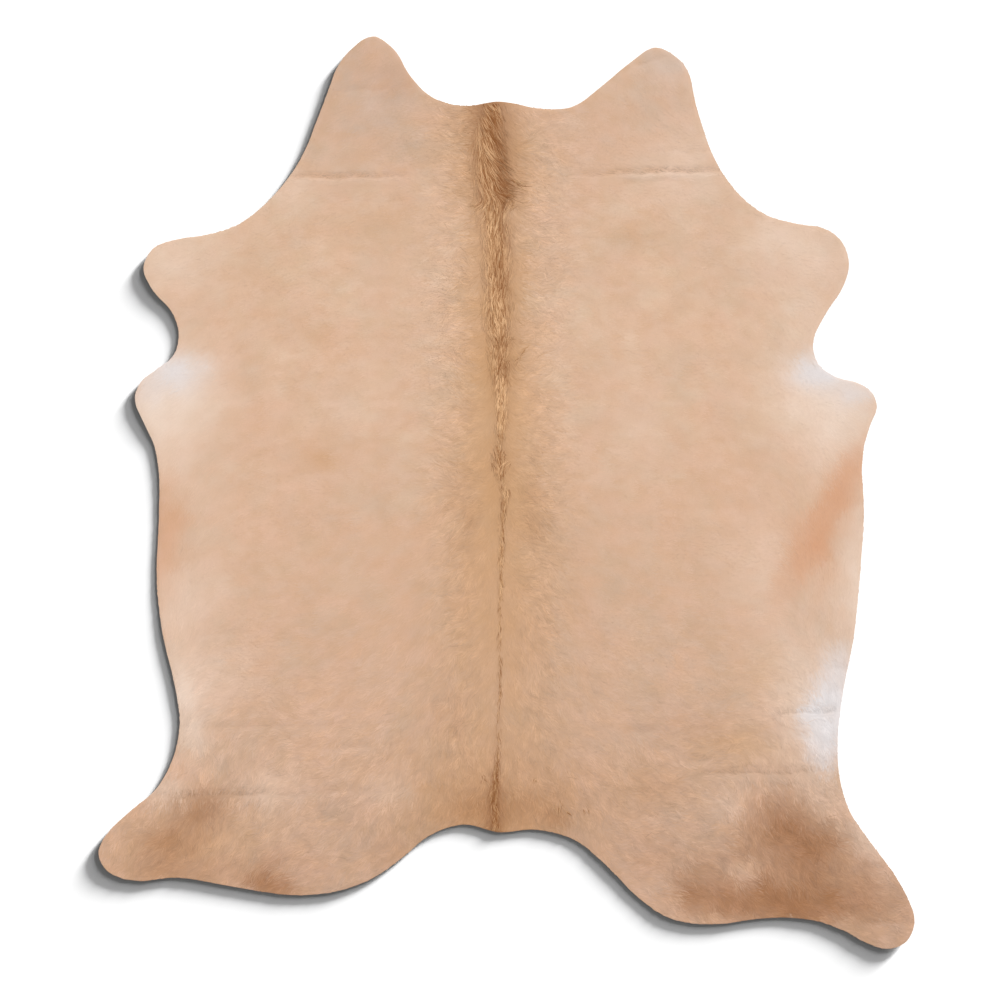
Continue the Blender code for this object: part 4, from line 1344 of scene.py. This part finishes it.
def strand_faces():
    """One strand's triangles. Its corners are counted ring by ring from the root, and the tip is last."""
    sides = ((0, 2), (2, 1), (1, 0))
    last, tip = (STRAND_SEGMENTS - 1) * 3, STRAND_SEGMENTS * 3
    faces = [(0, 1, 2)]
    for here in range(0, last, 3):
        there = here + 3
        for a, b in sides:
            faces += [(here + a, here + b, there + b), (here + a, there + b, there + a)]
    return np.array(faces + [(last + a, last + b, tip) for a, b in sides])


def strand_pigments(strands, shade):
    """The strength of each pigment on each strand, from the coat's own and from how light the strand is."""
    own_colour, dark, brown = strands["own_colour"], strands["dark"], strands["brown"]
    # The darker strands, which lie lower, get chestnut partly as their own colour and partly as painted
    # shade between the light strands over them.
    darker = np.clip(DARK_BELOW - shade, 0, DARKEST) * own_colour
    lighter = np.clip(shade - LIGHT_ABOVE, 0, LIGHTEST) * own_colour
    pigments = pigments_at(strands["root"])
    pigments["tan"] = np.maximum(pigments["tan"], STRAND_TAN * own_colour)
    pigments["brown"] = np.maximum(pigments["brown"], brown * own_colour)
    bare = 1 - CHESTNUT_BENEATH * pigments["chestnut"]
    bare *= (1 - CHESTNUT_CORE * dark) * (1 - CHESTNUT_STRAND * darker)
    pigments["chestnut"] = np.maximum(1 - bare, 0)
    kept = (1 - GOLD_LOST_IN_CORE * dark) * (1 - GOLD_LOST_IN_BROWN * brown)
    pigments["gold"] = GOLD_STRAND * lighter * kept
    return pigments


def strand_lines(draw, strands):
    """The places along each strand from its root to its tip, and which way it heads at each."""
    root, length = strands["root"], strands["length"]
    to_rim = np.maximum(hide_map.look_up(hide_map.depth, root), LEAST_TO_RIM) + STRAND_OVERHANG
    length = np.where(as_hide(root)[:, 1] < TAIL_FROM, np.minimum(length, to_rim), length)
    turn = draw.normal(0, STRAND_STRAY, len(root)) + CLUMP_TURN * soft_noise(root, STRAND_CLUMP, 91)
    bend = draw.normal(0, STRAND_BEND, len(root))
    own_way = leaning(strands["lean"])
    line, headings = [root], []
    for share in STRAND_SHARES[:-1]:
        way = np.where(np.isnan(own_way), spine_direction(line[-1]), own_way)
        headings.append(turned(way, turn + bend * (share - STRAIGHT_AT)))
        line.append(line[-1] + headings[-1] * (length / STRAND_SEGMENTS)[:, None])
    return line, [*headings, headings[-1]]


def strand_shapes(line, headings, breadth, lift):
    """The corners of each strand and their normals: rings of left, right and ridge, and the tip."""
    rings, normals = [], []
    up = np.ones((len(breadth), 1))
    for share, place, heading in zip(STRAND_SHARES, line, headings):
        taper = (1 - share) ** TAPER * (ROOT_WIDTH + SWELLING * min(share / WIDEST_AT, 1))
        left = to_the_left(heading)
        side = left * (breadth / 2 * taper)[:, None]
        rise = 4 * share * (1 - share) * STRAND_ARCH + share * TIP_RISE
        height = skin_top(place) + STRAND_CLEARANCE + lift * rise
        for sign in (1, -1) if share < 1 else ():
            rings.append(np.column_stack((place + sign * side, height)))
            normals.append(np.column_stack((sign * STRAND_ROUNDNESS * left, up)))
        rings.append(np.column_stack((place, height + breadth * STRAND_THICKNESS * taper)))
        normals.append(np.column_stack((0 * left, up)))
    return np.stack(rings, axis=1), np.stack(normals, axis=1)


def make_spine_hair():
    """All the long strands, joined: three-sided, curved along the flow, closed at root and tip."""
    draw = np.random.default_rng(11)
    band, tufts = band_strands(draw), tuft_strands(draw)
    strands = {name: np.concatenate((band[name], tufts[name])) for name in band}
    root, count = strands["root"], len(strands["root"])
    line, headings = strand_lines(draw, strands)
    shade = STREAK_SHADE * streaks(root, spine_direction(root), STRAND_STREAKS, 92)
    shade += draw.normal(0, STRAND_SHADE, count)
    layer = np.clip(draw.uniform(0, 1, count) + LIGHT_ON_TOP * shade, 0, 1)
    corners, normals = strand_shapes(
        line, headings, strands["breadth"], STRAND_LIFT * strands["lift"] * layer,
    )
    reach = np.append(np.repeat(STRAND_SHARES[:-1], 3), 1)
    sides = np.append(np.tile((1.0, -1.0, 0.0), STRAND_SEGMENTS), 0.0)
    tone = draw.normal(1, OWN_TONE, count)[:, None] * (ROOT_TONE + TONE_TO_TIP * reach)
    return hair_piece(
        "spine_hair", spine_hair_material(), corners, normals, strand_faces(), sides, reach,
        tone, draw.uniform(0, 100, count), strand_pigments(strands, shade),
    )


spine_hair = make_spine_hair()


# The floor and the light
# A matt near-white floor and a white room. A large soft light from high up on the picture's upper right
# lights the hide evenly. Two lower ones light only the floor, so that the hide's thickness and its
# curled rim lay a soft shadow along the lower left edges.
FLOOR_SIDE = 40
FLOOR_GAP = 0.0002
ROOM_STRENGTH = 0.14

floor_mesh = bpy.data.meshes.new("floor")
half = FLOOR_SIDE / 2
square = ((-half, -half), (half, -half), (half, half), (-half, half))
floor_mesh.from_pydata([(x, y, -FLOOR_GAP) for x, y in square], [], [(0, 1, 2, 3)])
floor = bpy.data.objects.new("floor", floor_mesh)
bpy.context.scene.collection.objects.link(floor)
floor_material, _, floor_shader = new_material("matt_white_floor", 1.0, 0.0)
floor_shader.inputs["Base Color"].default_value = (0.9, 0.9, 0.9, 1)
floor_mesh.materials.append(floor_material)


def add_light(name, strength, elevation, azimuth, spread, lit):
    """A distant light from that many degrees up and round, that lights only the given objects."""
    data = bpy.data.lights.new(name, "SUN")
    data.energy = strength
    data.angle = math.radians(spread)
    light = bpy.data.objects.new(name, data)
    up, round_from_right = math.radians(elevation), math.radians(azimuth)
    towards = Vector((
        math.cos(up) * math.cos(round_from_right), math.cos(up) * math.sin(round_from_right), math.sin(up),
    ))
    light.rotation_mode = "QUATERNION"
    light.rotation_quaternion = towards.to_track_quat("Z", "Y")
    receivers = bpy.data.collections.new(name)
    for thing in lit:
        receivers.objects.link(thing)
    light.light_linking.receiver_collection = receivers
    bpy.context.scene.collection.objects.link(light)


add_light("hide_light", 3.27, 62, 55, 50, [skin, *coat, spine_hair])
add_light("low_floor_light", 20.5, 7.5, 47, 9.8, [floor])
add_light("high_floor_light", 2.0, 22, 47, 26, [floor])

room = bpy.data.worlds.new("room")
room.use_nodes = True
room.node_tree.nodes["Background"].inputs["Color"].default_value = (1, 1, 1, 1)
room.node_tree.nodes["Background"].inputs["Strength"].default_value = ROOM_STRENGTH
bpy.context.scene.world = room
bpy.context.scene.view_settings.view_transform = "Standard"
